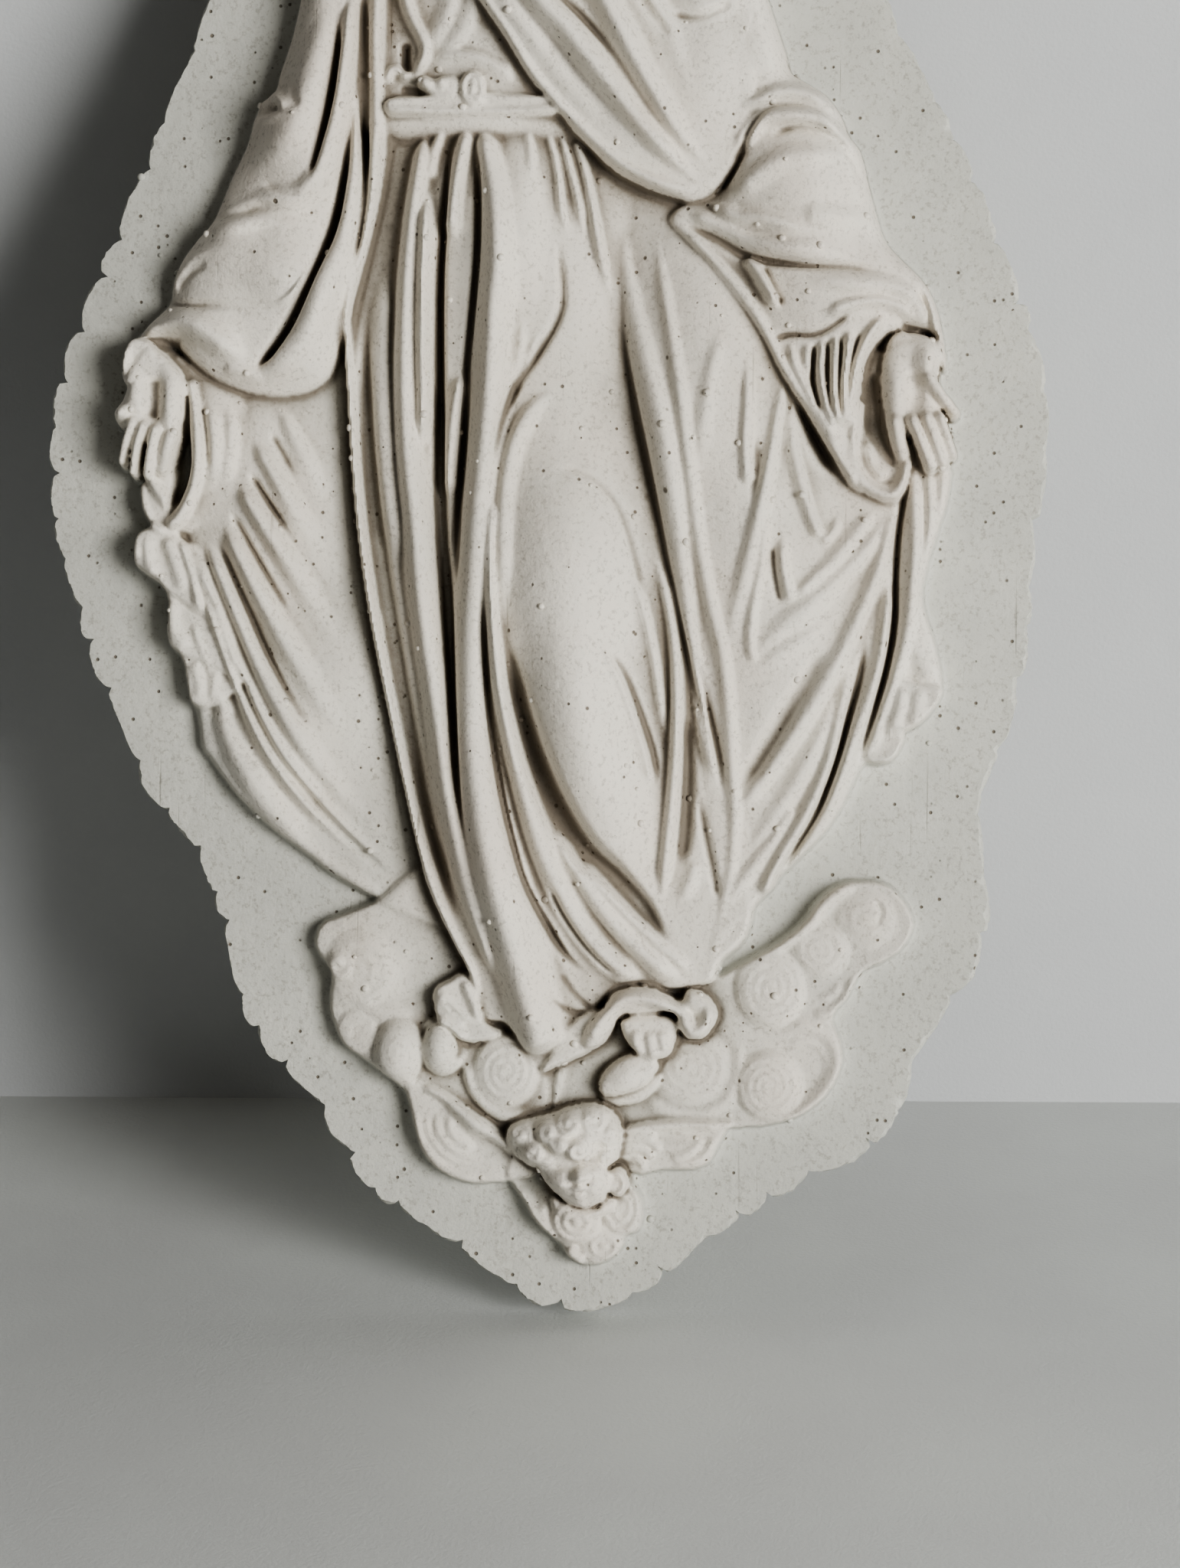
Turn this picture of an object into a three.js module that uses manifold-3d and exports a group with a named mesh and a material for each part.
// Cast plaster wall plaque with a standing veiled figure in relief, her hands held out and down,
// over clouds and the winged head of a cherub. Millimetres, Z up, the back face in the plane Y = 0,
// the relief looking along -Y. The whole plaque is one casting.
import * as THREE from 'three';
import * as BufferGeometryUtils from 'three/addons/utils/BufferGeometryUtils.js';
import Module from 'manifold-3d';

// Driving dimensions
const plateWidth = 270;
const plateHeight = 480;
const plateThickness = 10;
const reliefHeight = 36;
const rimBite = 15;
const rimBiteDepth = 2.2;
const facetTolerance = 1.1;

// The size at which the relief below is drawn, and the grid that it is worked out on. The forms
// are laid on up to sketchRelief and then deepened to drawnRelief, the high ones the most.
const drawnWidth = 270;
const drawnHeight = 480;
const drawnRelief = 36;
const sketchRelief = 26;
const cutMargin = 6;
const gridStep = 1.2;
const gridHalfWidth = Math.ceil((drawnWidth / 2 + cutMargin) / gridStep) * gridStep;
const gridHalfHeight = Math.ceil((drawnHeight / 2 + cutMargin) / gridStep) * gridStep;
const splineStep = 1.6;
const fingerDroop = 3.2;
const foldSpread = 1.7;
const crispness = 0.15;
const crispReach = 5;
const crispFrom = 5;

const plasterColour = 0xcfcac0;

function ease(t) {
  const c = Math.min(1, Math.max(0, t));
  return c * c * (3 - 2 * c);
}

// Points along a Catmull-Rom curve through the given ones
function spline(points, closed = false) {
  const n = points.length;
  const out = [];
  const spans = closed ? n : n - 1;
  for (let i = 0; i < spans; i += 1) {
    const b = points[i];
    const c = points[(i + 1) % n];
    const before = points[(i - 1 + n) % n];
    const after = points[(i + 2) % n];
    const a = closed || i > 0 ? before : [2 * b[0] - c[0], 2 * b[1] - c[1]];
    const d = closed || i < n - 2 ? after : [2 * c[0] - b[0], 2 * c[1] - b[1]];
    const pieces = Math.max(1, Math.floor(Math.hypot(c[0] - b[0], c[1] - b[1]) / splineStep));
    for (let k = 0; k < pieces; k += 1) {
      const t = k / pieces;
      out.push([0, 1].map((axis) => 0.5 * (2 * b[axis] + (c[axis] - a[axis]) * t
        + (2 * a[axis] - 5 * b[axis] + 4 * c[axis] - d[axis]) * t * t
        + (3 * b[axis] - a[axis] - 3 * c[axis] + d[axis]) * t ** 3)));
    }
  }
  out.push(closed ? out[0] : points[n - 1]);
  return out;
}

// A number, or numbers at even stations of a path, at a share of its length
function along(value, share) {
  if (!Array.isArray(value)) return value;
  const place = share * (value.length - 1);
  const i = Math.min(value.length - 2, Math.floor(place));
  return value[i] + (value[i + 1] - value[i]) * (place - i);
}

// The heights of the relief over the plate's face, on a grid of X and Z
class Relief {
  constructor() {
    this.columns = Math.round((2 * gridHalfWidth) / gridStep) + 1;
    this.rows = Math.round((2 * gridHalfHeight) / gridStep) + 1;
    this.heights = this.field(0);
  }

  field(value) {
    return new Float64Array(this.columns * this.rows).fill(value);
  }

  x(column) {
    return column * gridStep - gridHalfWidth;
  }

  z(row) {
    return row * gridStep - gridHalfHeight;
  }

  // Calls visit(index, x, z) for the cells in a box
  cells(x0, x1, z0, z1, visit) {
    const i0 = Math.max(0, Math.ceil((x0 + gridHalfWidth) / gridStep));
    const i1 = Math.min(this.columns - 1, Math.floor((x1 + gridHalfWidth) / gridStep));
    const j0 = Math.max(0, Math.ceil((z0 + gridHalfHeight) / gridStep));
    const j1 = Math.min(this.rows - 1, Math.floor((z1 + gridHalfHeight) / gridStep));
    for (let j = j0; j <= j1; j += 1) {
      for (let i = i0; i <= i1; i += 1) visit(j * this.columns + i, this.x(i), this.z(j));
    }
  }

  // Distance from a path, the side of it and the share along it, for each cell near it
  trace(path, reach) {
    const near = new Map();
    const lengths = path.slice(1).map((p, i) => Math.hypot(p[0] - path[i][0], p[1] - path[i][1]));
    const total = lengths.reduce((sum, length) => sum + length, 0);
    let done = 0;
    lengths.forEach((length, k) => {
      if (length === 0) return;
      const [ax, az] = path[k];
      const dx = path[k + 1][0] - ax;
      const dz = path[k + 1][1] - az;
      const x0 = Math.min(ax, ax + dx) - reach;
      const x1 = Math.max(ax, ax + dx) + reach;
      const z0 = Math.min(az, az + dz) - reach;
      const z1 = Math.max(az, az + dz) + reach;
      this.cells(x0, x1, z0, z1, (index, x, z) => {
        const t = Math.min(1, Math.max(0, ((x - ax) * dx + (z - az) * dz) / length ** 2));
        const distance = Math.hypot(x - ax - t * dx, z - az - t * dz);
        const known = near.get(index);
        if (distance > reach || (known && known.distance <= distance)) return;
        const side = Math.sign(dx * (z - az) - dz * (x - ax));
        near.set(index, { distance, side, share: (done + t * length) / total });
      });
      done += length;
    });
    return near;
  }

  inside(loop) {
    const mask = new Uint8Array(this.heights.length);
    for (let k = 0; k < loop.length - 1; k += 1) {
      const [x0, z0] = loop[k];
      const [x1, z1] = loop[k + 1];
      const j0 = Math.max(0, Math.ceil((Math.min(z0, z1) + gridHalfHeight) / gridStep));
      const j1 = Math.min(this.rows, Math.ceil((Math.max(z0, z1) + gridHalfHeight) / gridStep));
      for (let j = j0; j < j1; j += 1) {
        const x = x0 + ((this.z(j) - z0) / (z1 - z0)) * (x1 - x0);
        const first = Math.max(0, Math.ceil((x + gridHalfWidth) / gridStep));
        for (let i = first; i < this.columns; i += 1) mask[j * this.columns + i] ^= 1;
      }
    }
    return mask;
  }

  // A rounded fold along a path: soft is 0 for a rod and 1 for a wave, lean makes one side steep
  fold(field, points, width, height, soft = 0.5, lean = 0, ends = [0.15, 0.15], spread = 1) {
    const reach = Math.max(...[width].flat()) * (1 + Math.abs(lean)) * spread;
    this.trace(spline(points), reach).forEach(({ distance, side, share }, index) => {
      const start = ends[0] > 0 ? ease(share / ends[0]) : 1;
      const end = ends[1] > 0 ? ease((1 - share) / ends[1]) : 1;
      const taper = start * end;
      const half = spread * along(width, share) * (0.45 + 0.55 * taper) * (1 + lean * side);
      const t = Math.min(1, distance / half);
      const rod = (1 - t * t) ** 1.5;
      const wave = 0.5 + 0.5 * Math.cos(Math.PI * t);
      const rise = along(height, share) * taper * (rod + (wave - rod) * soft);
      field[index] = Math.max(field[index], rise);
    });
  }

  // A low round swelling, turned by an angle in degrees
  mound(field, x, z, rx, rz, height, turn = 0) {
    const angle = THREE.MathUtils.degToRad(turn);
    const reach = Math.max(rx, rz);
    this.cells(x - reach, x + reach, z - reach, z + reach, (index, cx, cz) => {
      const u = ((cx - x) * Math.cos(angle) + (cz - z) * Math.sin(angle)) / rx;
      const v = ((cz - z) * Math.cos(angle) - (cx - x) * Math.sin(angle)) / rz;
      const q = u * u + v * v;
      if (q < 1) field[index] += height * (1 - q) ** 2;
    });
  }

  // A ball or egg set on what is there
  ball(x, z, rx, rz, height) {
    const reach = Math.max(rx, rz);
    this.cells(x - reach, x + reach, z - reach, z + reach, (index, cx, cz) => {
      const q = ((cx - x) / rx) ** 2 + ((cz - z) / rz) ** 2;
      if (q < 1) this.heights[index] += height * Math.sqrt(1 - q);
    });
  }

  // A low round puff with a spiral combed into it, or rings where hand is 0; comb is the share of
  // its height that the combing takes
  swirl(field, x, z, rx, rz, height, turns = 2, start = 0, hand = 1, comb = 0.25) {
    const reach = Math.max(rx, rz);
    this.cells(x - reach, x + reach, z - reach, z + reach, (index, cx, cz) => {
      const u = (cx - x) / rx;
      const v = (cz - z) / rz;
      const q = Math.hypot(u, v);
      if (q >= 1) return;
      const winding = q * turns - (hand * Math.atan2(v, u)) / (2 * Math.PI) - start;
      const wave = 0.5 + 0.5 * Math.cos(2 * Math.PI * winding);
      const dome = (1 - comb) * Math.sqrt(1 - q * q);
      const rise = height * (dome + comb * wave * ease((1 - q) / 0.25));
      field[index] = Math.max(field[index], rise);
    });
  }

  // A sheet laid over what is there: level is its height over the plate, lip the share of its
  // edge that stands straight up, and edge how far in from the outline it is still rounded
  layer(points, level, lip, edge, carving = {}) {
    const { mounds = [], folds = [], grooves = [], swirls = [], least = 0.8 } = carving;
    const loop = spline(points, true);
    const mask = this.inside(loop);
    const border = this.trace(loop, edge);
    const top = this.field(level);
    const crest = this.field(0);
    const cut = this.field(0);
    mounds.forEach((mound) => this.mound(top, ...mound));
    folds.forEach(([points, width, height, soft, lean, ends]) => {
      this.fold(crest, points, width, height, soft, lean, ends, foldSpread);
    });
    swirls.forEach((swirl) => this.swirl(crest, ...swirl));
    grooves.forEach((groove) => this.fold(cut, ...groove));
    mask.forEach((covered, index) => {
      if (!covered) return;
      const near = border.get(index);
      const t = near ? Math.min(1, near.distance / edge) : 1;
      const rounding = Math.sqrt(1 - (1 - t) ** 2);
      const below = this.heights[index];
      const rise = Math.max(top[index] + crest[index] - cut[index] - below, least);
      this.heights[index] = below + rise * (lip + (1 - lip) * rounding);
    });
  }

  // Round-ended rods, such as fingers
  rods(level, rows) {
    rows.forEach(([points, width, height]) => {
      this.trace(spline(points), width).forEach(({ distance, share }, index) => {
        const t = distance / width;
        const rise = level - fingerDroop * share ** 2 + height * Math.sqrt(Math.max(0, 1 - t * t));
        this.heights[index] = Math.max(this.heights[index], rise);
      });
    });
  }

  // Rounds off steps and creases as casting does
  soften() {
    const { columns, rows } = this;
    [1, columns].forEach((offset) => {
      const old = this.heights.slice();
      for (let k = columns + 1; k < columns * (rows - 1) - 1; k += 1) {
        this.heights[k] = (old[k - offset] + 2 * old[k] + old[k + offset]) / 4;
      }
    });
  }

  // The mean over the cells up to so many away, along rows where the stride is 1
  mean(field, cells, stride) {
    const { columns } = this;
    const line = stride === 1 ? columns : this.rows;
    return field.map((own, k) => {
      const place = stride === 1 ? k % columns : Math.floor(k / columns);
      let sum = 0;
      for (let d = -cells; d <= cells; d += 1) {
        const at = Math.min(line - 1, Math.max(0, place + d));
        sum += field[k + (at - place) * stride];
      }
      return sum / (2 * cells + 1);
    });
  }

  // Low forms keep about their height, and high ones grow from sketchRelief to drawnRelief. Then
  // valleys are cut and ridges raised by a share of how far they lie from the smoothed surface.
  deepen() {
    const growth = drawnRelief / sketchRelief - 1;
    const cells = Math.round(crispReach / gridStep);
    const deep = this.heights.map((height) => height * (1 + (growth * height) / sketchRelief));
    const smooth = [1, this.columns, 1, this.columns]
      .reduce((field, stride) => this.mean(field, cells, stride), deep);
    this.heights = this.heights.map((sketched, k) => {
      const crisp = crispness * (deep[k] - smooth[k]) * ease(sketched / crispFrom);
      return Math.max(0, deep[k] + crisp);
    });
  }
}

// Banks of cloud under the figure, with curled puffs on them
function clouds(r) {
  r.layer(
    [
      [-30, -118], [-45, -128], [-53, -131.5], [-60, -134.5], [-62, -139.5], [-60.5, -143.5],
      [-57.5, -148], [-58, -157], [-54.5, -166.5], [-46, -173], [-38.5, -179], [-35.5, -187],
      [-33.5, -195], [-29, -200.5], [-20, -203.8], [-8, -203], [0, -196], [10, -150], [0, -120]
    ],
    5.5, 0.7, 3.6,
    {
      mounds: [[-48, -146, 14, 18, 1.6], [-40, -168, 12, 14, 2.2], [-30, -152, 12, 14, -1.6]],
      folds: [[[[-58, -153], [-52, -152], [-46, -158], [-40, -158.5], [-35, -162]], 2.4, 0.8, 0.6]],
      swirls: [
        [-49.5, -147, 10, 11, 0.9, 3, 0.1, 0, 0.22], [-55, -145.4, 4, 4.6, 2.2, 1, 0, 1, 0.4],
        [-39, -168.6, 6.8, 9.2, 3.4, 3.4, 0.2, 0, 0.06],
        [-50.5, -163.4, 5.6, 6.2, 1.2, 2.4, 0, 0, 0.15]
      ]
    }
  );
  r.layer(
    [
      [-10, -202.4], [-6, -208.6], [-3, -213.8], [1.6, -218.4], [4, -220.4], [6, -223.5],
      [10, -226], [14, -225.8], [18.6, -223.4], [21, -220.4], [21, -218.3], [25, -216.6],
      [26.2, -212], [25.6, -207.6], [23.4, -203.6], [22, -198], [5, -190], [-8, -196]
    ],
    4.6, 0.75, 3,
    {
      mounds: [[8, -210, 15, 16, 2.6], [-3, -205, 6, 8, -1.4]],
      folds: [
        [[[-7.4, -204.4], [-4.4, -210], [-1, -215], [3.4, -219]], 1.6, 1.4, 0.5],
        [[[-1.4, -209], [-0.6, -212.6], [2.6, -216]], 1.2, 0.9, 0.5],
        [[[5.4, -221.4], [8, -223.4], [10.4, -224.6]], 1.8, 1.6, 0.5]
      ],
      swirls: [
        [20.4, -210, 5.6, 8.6, 1.8, 2.6, 0, 0, 0.35],
        [15.6, -220.4, 6.4, 5.4, 1.6, 2.4, 0.2, 0, 0.35],
        [8.4, -213.6, 7.4, 6.6, 2.4, 3, 0.3, 0, 0.3]
      ]
    }
  );
  r.layer(
    [
      [44, -148], [52, -145], [60, -140.8], [64, -138], [69, -133.6], [72.4, -128.6],
      [77.6, -124.2], [84, -122.8], [91, -124], [96, -129], [98, -135], [95, -141], [90, -144.5],
      [85.4, -146.6], [83, -149.4], [80.6, -154], [76.5, -159.4], [78.4, -165], [79.2, -171],
      [77, -177], [73, -182], [67, -186], [58, -188.5], [48, -189], [38, -190], [26, -190],
      [12, -190], [2, -185], [10, -150], [30, -140]
    ],
    4.8, 0.85, 2.6,
    {
      mounds: [[60, -165, 20, 20, 1.4], [86, -134, 12, 12, 0.8]],
      folds: [
        [
          [
            [50, -146.6], [57, -143], [62, -140.6], [66, -138.4], [70.4, -134.6], [73.6, -130],
            [78.4, -126], [84, -124.6]
          ],
          1.4, [0.6, 1.6, 1.4], 0.4
        ],
        [
          [
            [62, -163.6], [69, -161.6], [75.6, -165], [77.4, -172], [74, -179], [67, -185],
            [58, -187]
          ],
          2, 1, 0.6
        ],
        [[[64, -166.6], [70, -165.4], [74.4, -169], [75, -174], [71, -180.4]], 1, 0.5, 0.6],
        [
          [[50.4, -165], [51.4, -173], [48.4, -181], [41, -185.4], [32, -184], [26, -179]], 2, 0.9,
          0.6
        ],
        [[[77.8, -136], [79.8, -141], [77.4, -146.4]], 0.9, 0.9, 0.4],
        [[[83, -148], [80, -154.6], [75.6, -158.4], [70.6, -158]], 1.6, 0.8, 0.6],
        [[[78.6, -150], [76, -153.6], [72.6, -154]], 0.9, 0.5, 0.5]
      ],
      grooves: [[[[87.4, -128], [89.3, -131], [88, -135]], 0.8, 1, 0.4]],
      swirls: [
        [85, -133, 8, 8, 0.8, 2.4, 0.2, 0, 0.25], [73, -141.4, 8, 7.6, 1.8, 3.2, 0.1, 0, 0.15],
        [60, -151.4, 9.6, 10.8, 2.3, 4.2, 0.35, 1, 0.15],
        [59.6, -177.4, 9.2, 9.6, 2.3, 4.4, 0.15, 1, 0.17],
        [38.4, -172.6, 11.6, 11, 1.8, 4.6, 0.4, 0, 0.13]
      ]
    }
  );
  r.layer(
    [
      [-22, -170], [-19, -165.5], [-12, -163.5], [-4, -166], [0, -174], [1, -182], [-3, -186.6],
      [-9, -188], [-15, -185.6], [-19.6, -181], [-22, -175]
    ],
    6.4, 0.7, 2.6,
    {
      folds: [
        [
          [[-20.6, -171], [-20, -177], [-16.4, -182.4], [-10.6, -185.4], [-4, -184.6]], 1.6, 0.9,
          0.5
        ]
      ],
      swirls: [[-10.2, -173.6, 9.2, 10.4, 2.4, 4.2, 0.2, 1, 0.17]]
    }
  );
}

// The cherub's wings, laid on the clouds on both sides of its head
function wings(r) {
  // the wing at the viewer's left
  r.layer(
    [
      [-37, -177], [-33.4, -176.5], [-27, -179], [-20, -184], [-13, -188.6], [-6, -195.6],
      [-2, -200.5], [-8, -203], [-20, -204.2], [-28, -201], [-33, -195], [-35.8, -187]
    ],
    5.6, 0.6, 2.6,
    {
      mounds: [[-25, -191, 12, 10, 1.6, -35], [-14, -194.6, 6, 4, -1.6, -40]],
      folds: [
        [
          [
            [-34.5, -177.5], [-28, -180], [-20.6, -185.4], [-14.4, -190.4], [-9, -195], [-3, -199.6]
          ],
          [1, 1.5, 2.6, 1.6, 0.9], [1.6, 2.4, 3.4, 2.4, 1.2], 0.4, 0, [0.1, 0.05]
        ],
        [[[-34, -183], [-34, -189], [-31, -195.4], [-25, -200.4], [-16, -202.6]], 1.3, 1, 0.6],
        [
          [[-31.6, -183.6], [-31.6, -189.4], [-28.6, -194.6], [-23, -198.6], [-15, -200.8]], 1.1,
          0.8, 0.6
        ],
        [
          [[-28.8, -184.4], [-28.8, -189.4], [-26, -193.6], [-21, -196.8], [-13.6, -199]], 1.1, 0.7,
          0.6
        ],
        [[[-25.6, -185.6], [-25.4, -189.4], [-23, -192.4], [-18.6, -194.8]], 1, 0.6, 0.6]
      ]
    }
  );
  // the wing at the viewer's right: a fan of quills, then the flatter tip
  r.layer(
    [
      [16, -190], [22, -188], [30, -186.6], [40, -186.2], [49.5, -187], [48, -190.5], [46, -194.5],
      [44, -198], [39.6, -200.2], [31, -200.4], [25, -201.6], [20, -199.4], [16, -198]
    ],
    6.2, 0.6, 2.2,
    {
      mounds: [[37, -194, 8, 5, 1]],
      folds: [
        [[[18, -190.4], [28, -188.4], [40, -187.6], [48.5, -188.3]], 1.2, 1.4, 0.4],
        [[[17.4, -193.6], [22, -191.6], [27, -190.6], [30, -191.6]], 0.9, 1.5, 0.4, 0, [0.1, 0.1]],
        [[[17.4, -194.6], [23, -193], [28, -192.6], [31, -195]], 0.9, 1.5, 0.4, 0, [0.1, 0.1]],
        [
          [[17.4, -195.6], [22.4, -194.6], [26.6, -194.8], [29, -197]], 0.9, 1.4, 0.4, 0, [0.1, 0.1]
        ],
        [
          [[17.4, -196.6], [21.6, -196.4], [25, -197.2], [26.6, -199.6]], 0.9, 1.3, 0.4, 0,
          [0.1, 0.1]
        ],
        [[[44.8, -190.6], [43.4, -194.6], [39.6, -197.6], [34, -198.8]], 0.9, 0.8, 0.5],
        [[[41.8, -190.6], [40.4, -193.6], [37, -196], [33, -197]], 0.9, 0.7, 0.5]
      ]
    }
  );
}

// The open mantle at the viewer's left, its folds running down to the feet
function leftMantle(r) {
  const outline = [
    [-96, 22], [-97, 5], [-95, -10], [-98, -22], [-99, -40], [-97, -62.5], [-96.3, -70],
    [-95.3, -75], [-93.8, -78.5], [-93, -84], [-92.5, -87.8], [-90, -91], [-86.7, -95.5],
    [-81.9, -101.5], [-74, -109], [-63.8, -116.6], [-57.6, -121.5], [-48, -127], [-40, -131],
    [-26.7, -135.8], [-12, -140], [-12, -60], [-30, 60], [-60, 60]
  ];
  r.layer(
    outline, 4.6, 0.45, 4,
    {
      mounds: [[-78, -24, 30, 54, 5.5], [-66, -84, 26, 46, 3.5, -20]],
      folds: [
        [
          [
            [-95.5, -34], [-90.6, -44], [-86, -57], [-81.4, -70], [-75, -84], [-66.6, -97],
            [-57, -108.6], [-46, -119]
          ],
          [1.6, 2.6, 3, 2.6], [2.4, 3.4, 2.8, 1.4], 0.4, 0.15, [0.1, 0.3]
        ],
        [
          [
            [-90.6, -32], [-86, -42.6], [-81.4, -54], [-76.4, -66], [-70, -78], [-62.4, -89.6],
            [-54, -100], [-44, -110]
          ],
          [1.5, 2.4, 3.2], [2.2, 3.4, 2.4, 1], 0.4, 0.1, [0.1, 0.4]
        ],
        [
          [
            [-85.5, -28], [-81.4, -36], [-76.6, -45.6], [-70.6, -57], [-63.6, -69], [-56.6, -80],
            [-49, -90]
          ],
          [1.5, 2.8, 3.6], [2.4, 3.2, 1.8, 0.6], 0.45, 0.1, [0.1, 0.5]
        ],
        [
          [[-81.4, -17], [-77, -24.5], [-71, -34], [-63.6, -46], [-56.6, -58], [-50.6, -69]],
          [1.5, 2.8, 4], [2.4, 3, 1.4, 0.4], 0.5, 0.1, [0.1, 0.6]
        ],
        [
          [[-78, -5], [-73.6, -12], [-68.4, -21], [-62, -33], [-56, -45]], [1.3, 2.6, 4],
          [1.8, 2.4, 1, 0.3], 0.5, 0.1, [0.15, 0.6]
        ],
        [
          [[-71, 4], [-66.6, -4.6], [-61.6, -15], [-56.4, -27]], [1.3, 2.4, 3.6], [1.4, 1.5, 0.6],
          0.5, 0, [0.2, 0.6]
        ],
        [
          [[-88, -74], [-84.4, -85], [-79, -95], [-72, -104.6], [-63.6, -113]], [1.8, 3.2, 3],
          [1.8, 2.6, 1.4], 0.45, -0.1
        ],
        [
          [[-73, -84], [-67.6, -94], [-60.6, -103], [-52, -111.6], [-42, -119]], [1.4, 2.4, 2.6],
          [1.2, 2, 1], 0.45, 0, [0.3, 0.4]
        ],
        [[[-95, -52], [-91.4, -62], [-87.6, -73], [-84.6, -82]], [1.4, 2], 2, 0.4],
        [
          [[-91, -90], [-84, -97.5], [-75, -105.5], [-65, -113.5], [-55, -121], [-42, -128.5]], 1.8,
          0.9, 0.4
        ]
      ],
      grooves: [
        [
          [[-88, -30], [-84, -40], [-79.4, -51], [-74.4, -62.6], [-68.4, -74], [-61, -85.6]],
          [1, 1.4, 1.6], [1.2, 1.8, 0.6], 0.4
        ],
        [
          [
            [-93, -38], [-88.4, -50], [-83.8, -63], [-78.4, -76.6], [-71, -90], [-62, -101.6],
            [-52, -112.6], [-40, -123]
          ],
          [1, 1.6, 1.8, 1.6], [1.2, 2.6, 2.4, 1], 0.4
        ],
        [[[-84, -24], [-79.6, -31.6], [-74.4, -41], [-68, -52]], 1.1, [1.4, 1.4, 0.4], 0.4],
        [
          [[-78.6, -14], [-74.6, -20.6], [-70, -27.6], [-65, -35]], 1.2, [1.6, 2, 0.6], 0.4, 0,
          [0.15, 0.5]
        ],
        [[[-73.4, -3], [-69.4, -10], [-65, -18]], 1, 1.3, 0.4, 0, [0.2, 0.5]]
      ]
    }
  );
  r.layer(
    [
      [-98, -60], [-96.8, -66], [-96.2, -70.5], [-95, -75.3], [-91, -77], [-86, -74.5],
      [-81, -70.5], [-83, -62], [-90, -50]
    ],
    7, 0.6, 1.8,
    {
      folds: [
        [[[-94, -64], [-92.5, -70], [-92, -75]], 1.4, 1],
        [[[-88, -66], [-88.5, -71], [-88.5, -75]], 1.4, 0.8]
      ]
    }
  );
  r.layer(
    [
      [-103, -42], [-101.3, -48], [-101.2, -59], [-97.3, -62.6], [-89, -66], [-80, -69.9],
      [-84.5, -58], [-88, -47], [-91, -36], [-97, -33]
    ],
    8.2, 0.6, 2.2,
    {
      folds: [
        [[[-91, -36], [-88, -47], [-84.5, -58], [-80.8, -68]], 1.6, 1.6, 0.3],
        [[[-99.5, -48], [-99, -56], [-95, -61]], 1.3, 1, 0.4]
      ]
    }
  );
  r.layer(
    [
      [-106, -28.5], [-109.3, -30.5], [-110.2, -37.5], [-108.5, -40], [-101, -45.3], [-91, -52.3],
      [-92.3, -44], [-94.5, -36], [-98, -30], [-102, -27]
    ],
    9.2, 0.6, 2.4,
    {
      folds: [
        [[[-96.5, -31], [-94.5, -38], [-92.5, -45], [-91.3, -51.5]], 1.4, 1.6, 0.3],
        [[[-108.5, -31], [-108.8, -37]], 1, 1, 0.4],
        [[[-106, -31], [-105.5, -37], [-104, -42]], 1.3, 1.1, 0.5],
        [[[-101, -31], [-98.5, -38], [-96, -46]], 1.6, 1.2, 0.5]
      ]
    }
  );
}

// The bodice
function torso(r) {
  r.layer(
    [
      [-54, 95], [-52, 120], [-50, 145], [-44, 158], [-26, 163], [-10, 158], [8, 162], [26, 158],
      [38, 148], [44, 125], [45, 100], [40, 76], [20, 71], [-20, 72], [-44, 74], [-52, 82]
    ],
    10.5, 0.5, 6,
    {
      mounds: [[-14, 118, 34, 36, 4], [-14, 84, 36, 26, 3]],
      folds: [
        [
          [[-38, 128], [-37, 114], [-34.6, 105], [-31.6, 99], [-31, 95], [-33, 91], [-35.6, 88]],
          [1.4, 1.7, 1.2], 2.6, 0.4
        ],
        [[[-41.4, 88], [-40, 91.4], [-37.4, 91], [-35.4, 88.4]], 1.1, 2.2, 0.4, 0, [0.05, 0.1]],
        [[[-27, 118], [-24, 110], [-28, 100], [-31, 96]], 2.4, 1.2, 0.6],
        [[[-18, 114], [-19, 106], [-23, 99], [-28, 95]], 2.4, 0.9, 0.6],
        [[[-30, 92.6], [-24, 94.6], [-17, 94], [-11, 91], [-7, 87]], 1.8, 1, 0.5]
      ],
      grooves: [
        [[[-36.5, 99], [-36.4, 94], [-36.6, 90]], 1.8, 2.2, 0.6],
        [[[-38, 86.4], [-34, 85.6], [-31.4, 84.6]], 1.2, 1.6, 0.4],
        [[[-23, 96.8], [-16, 95.6], [-9, 91.4]], 1.1, 0.7, 0.5]
      ]
    }
  );
  belt(r);
}

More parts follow.
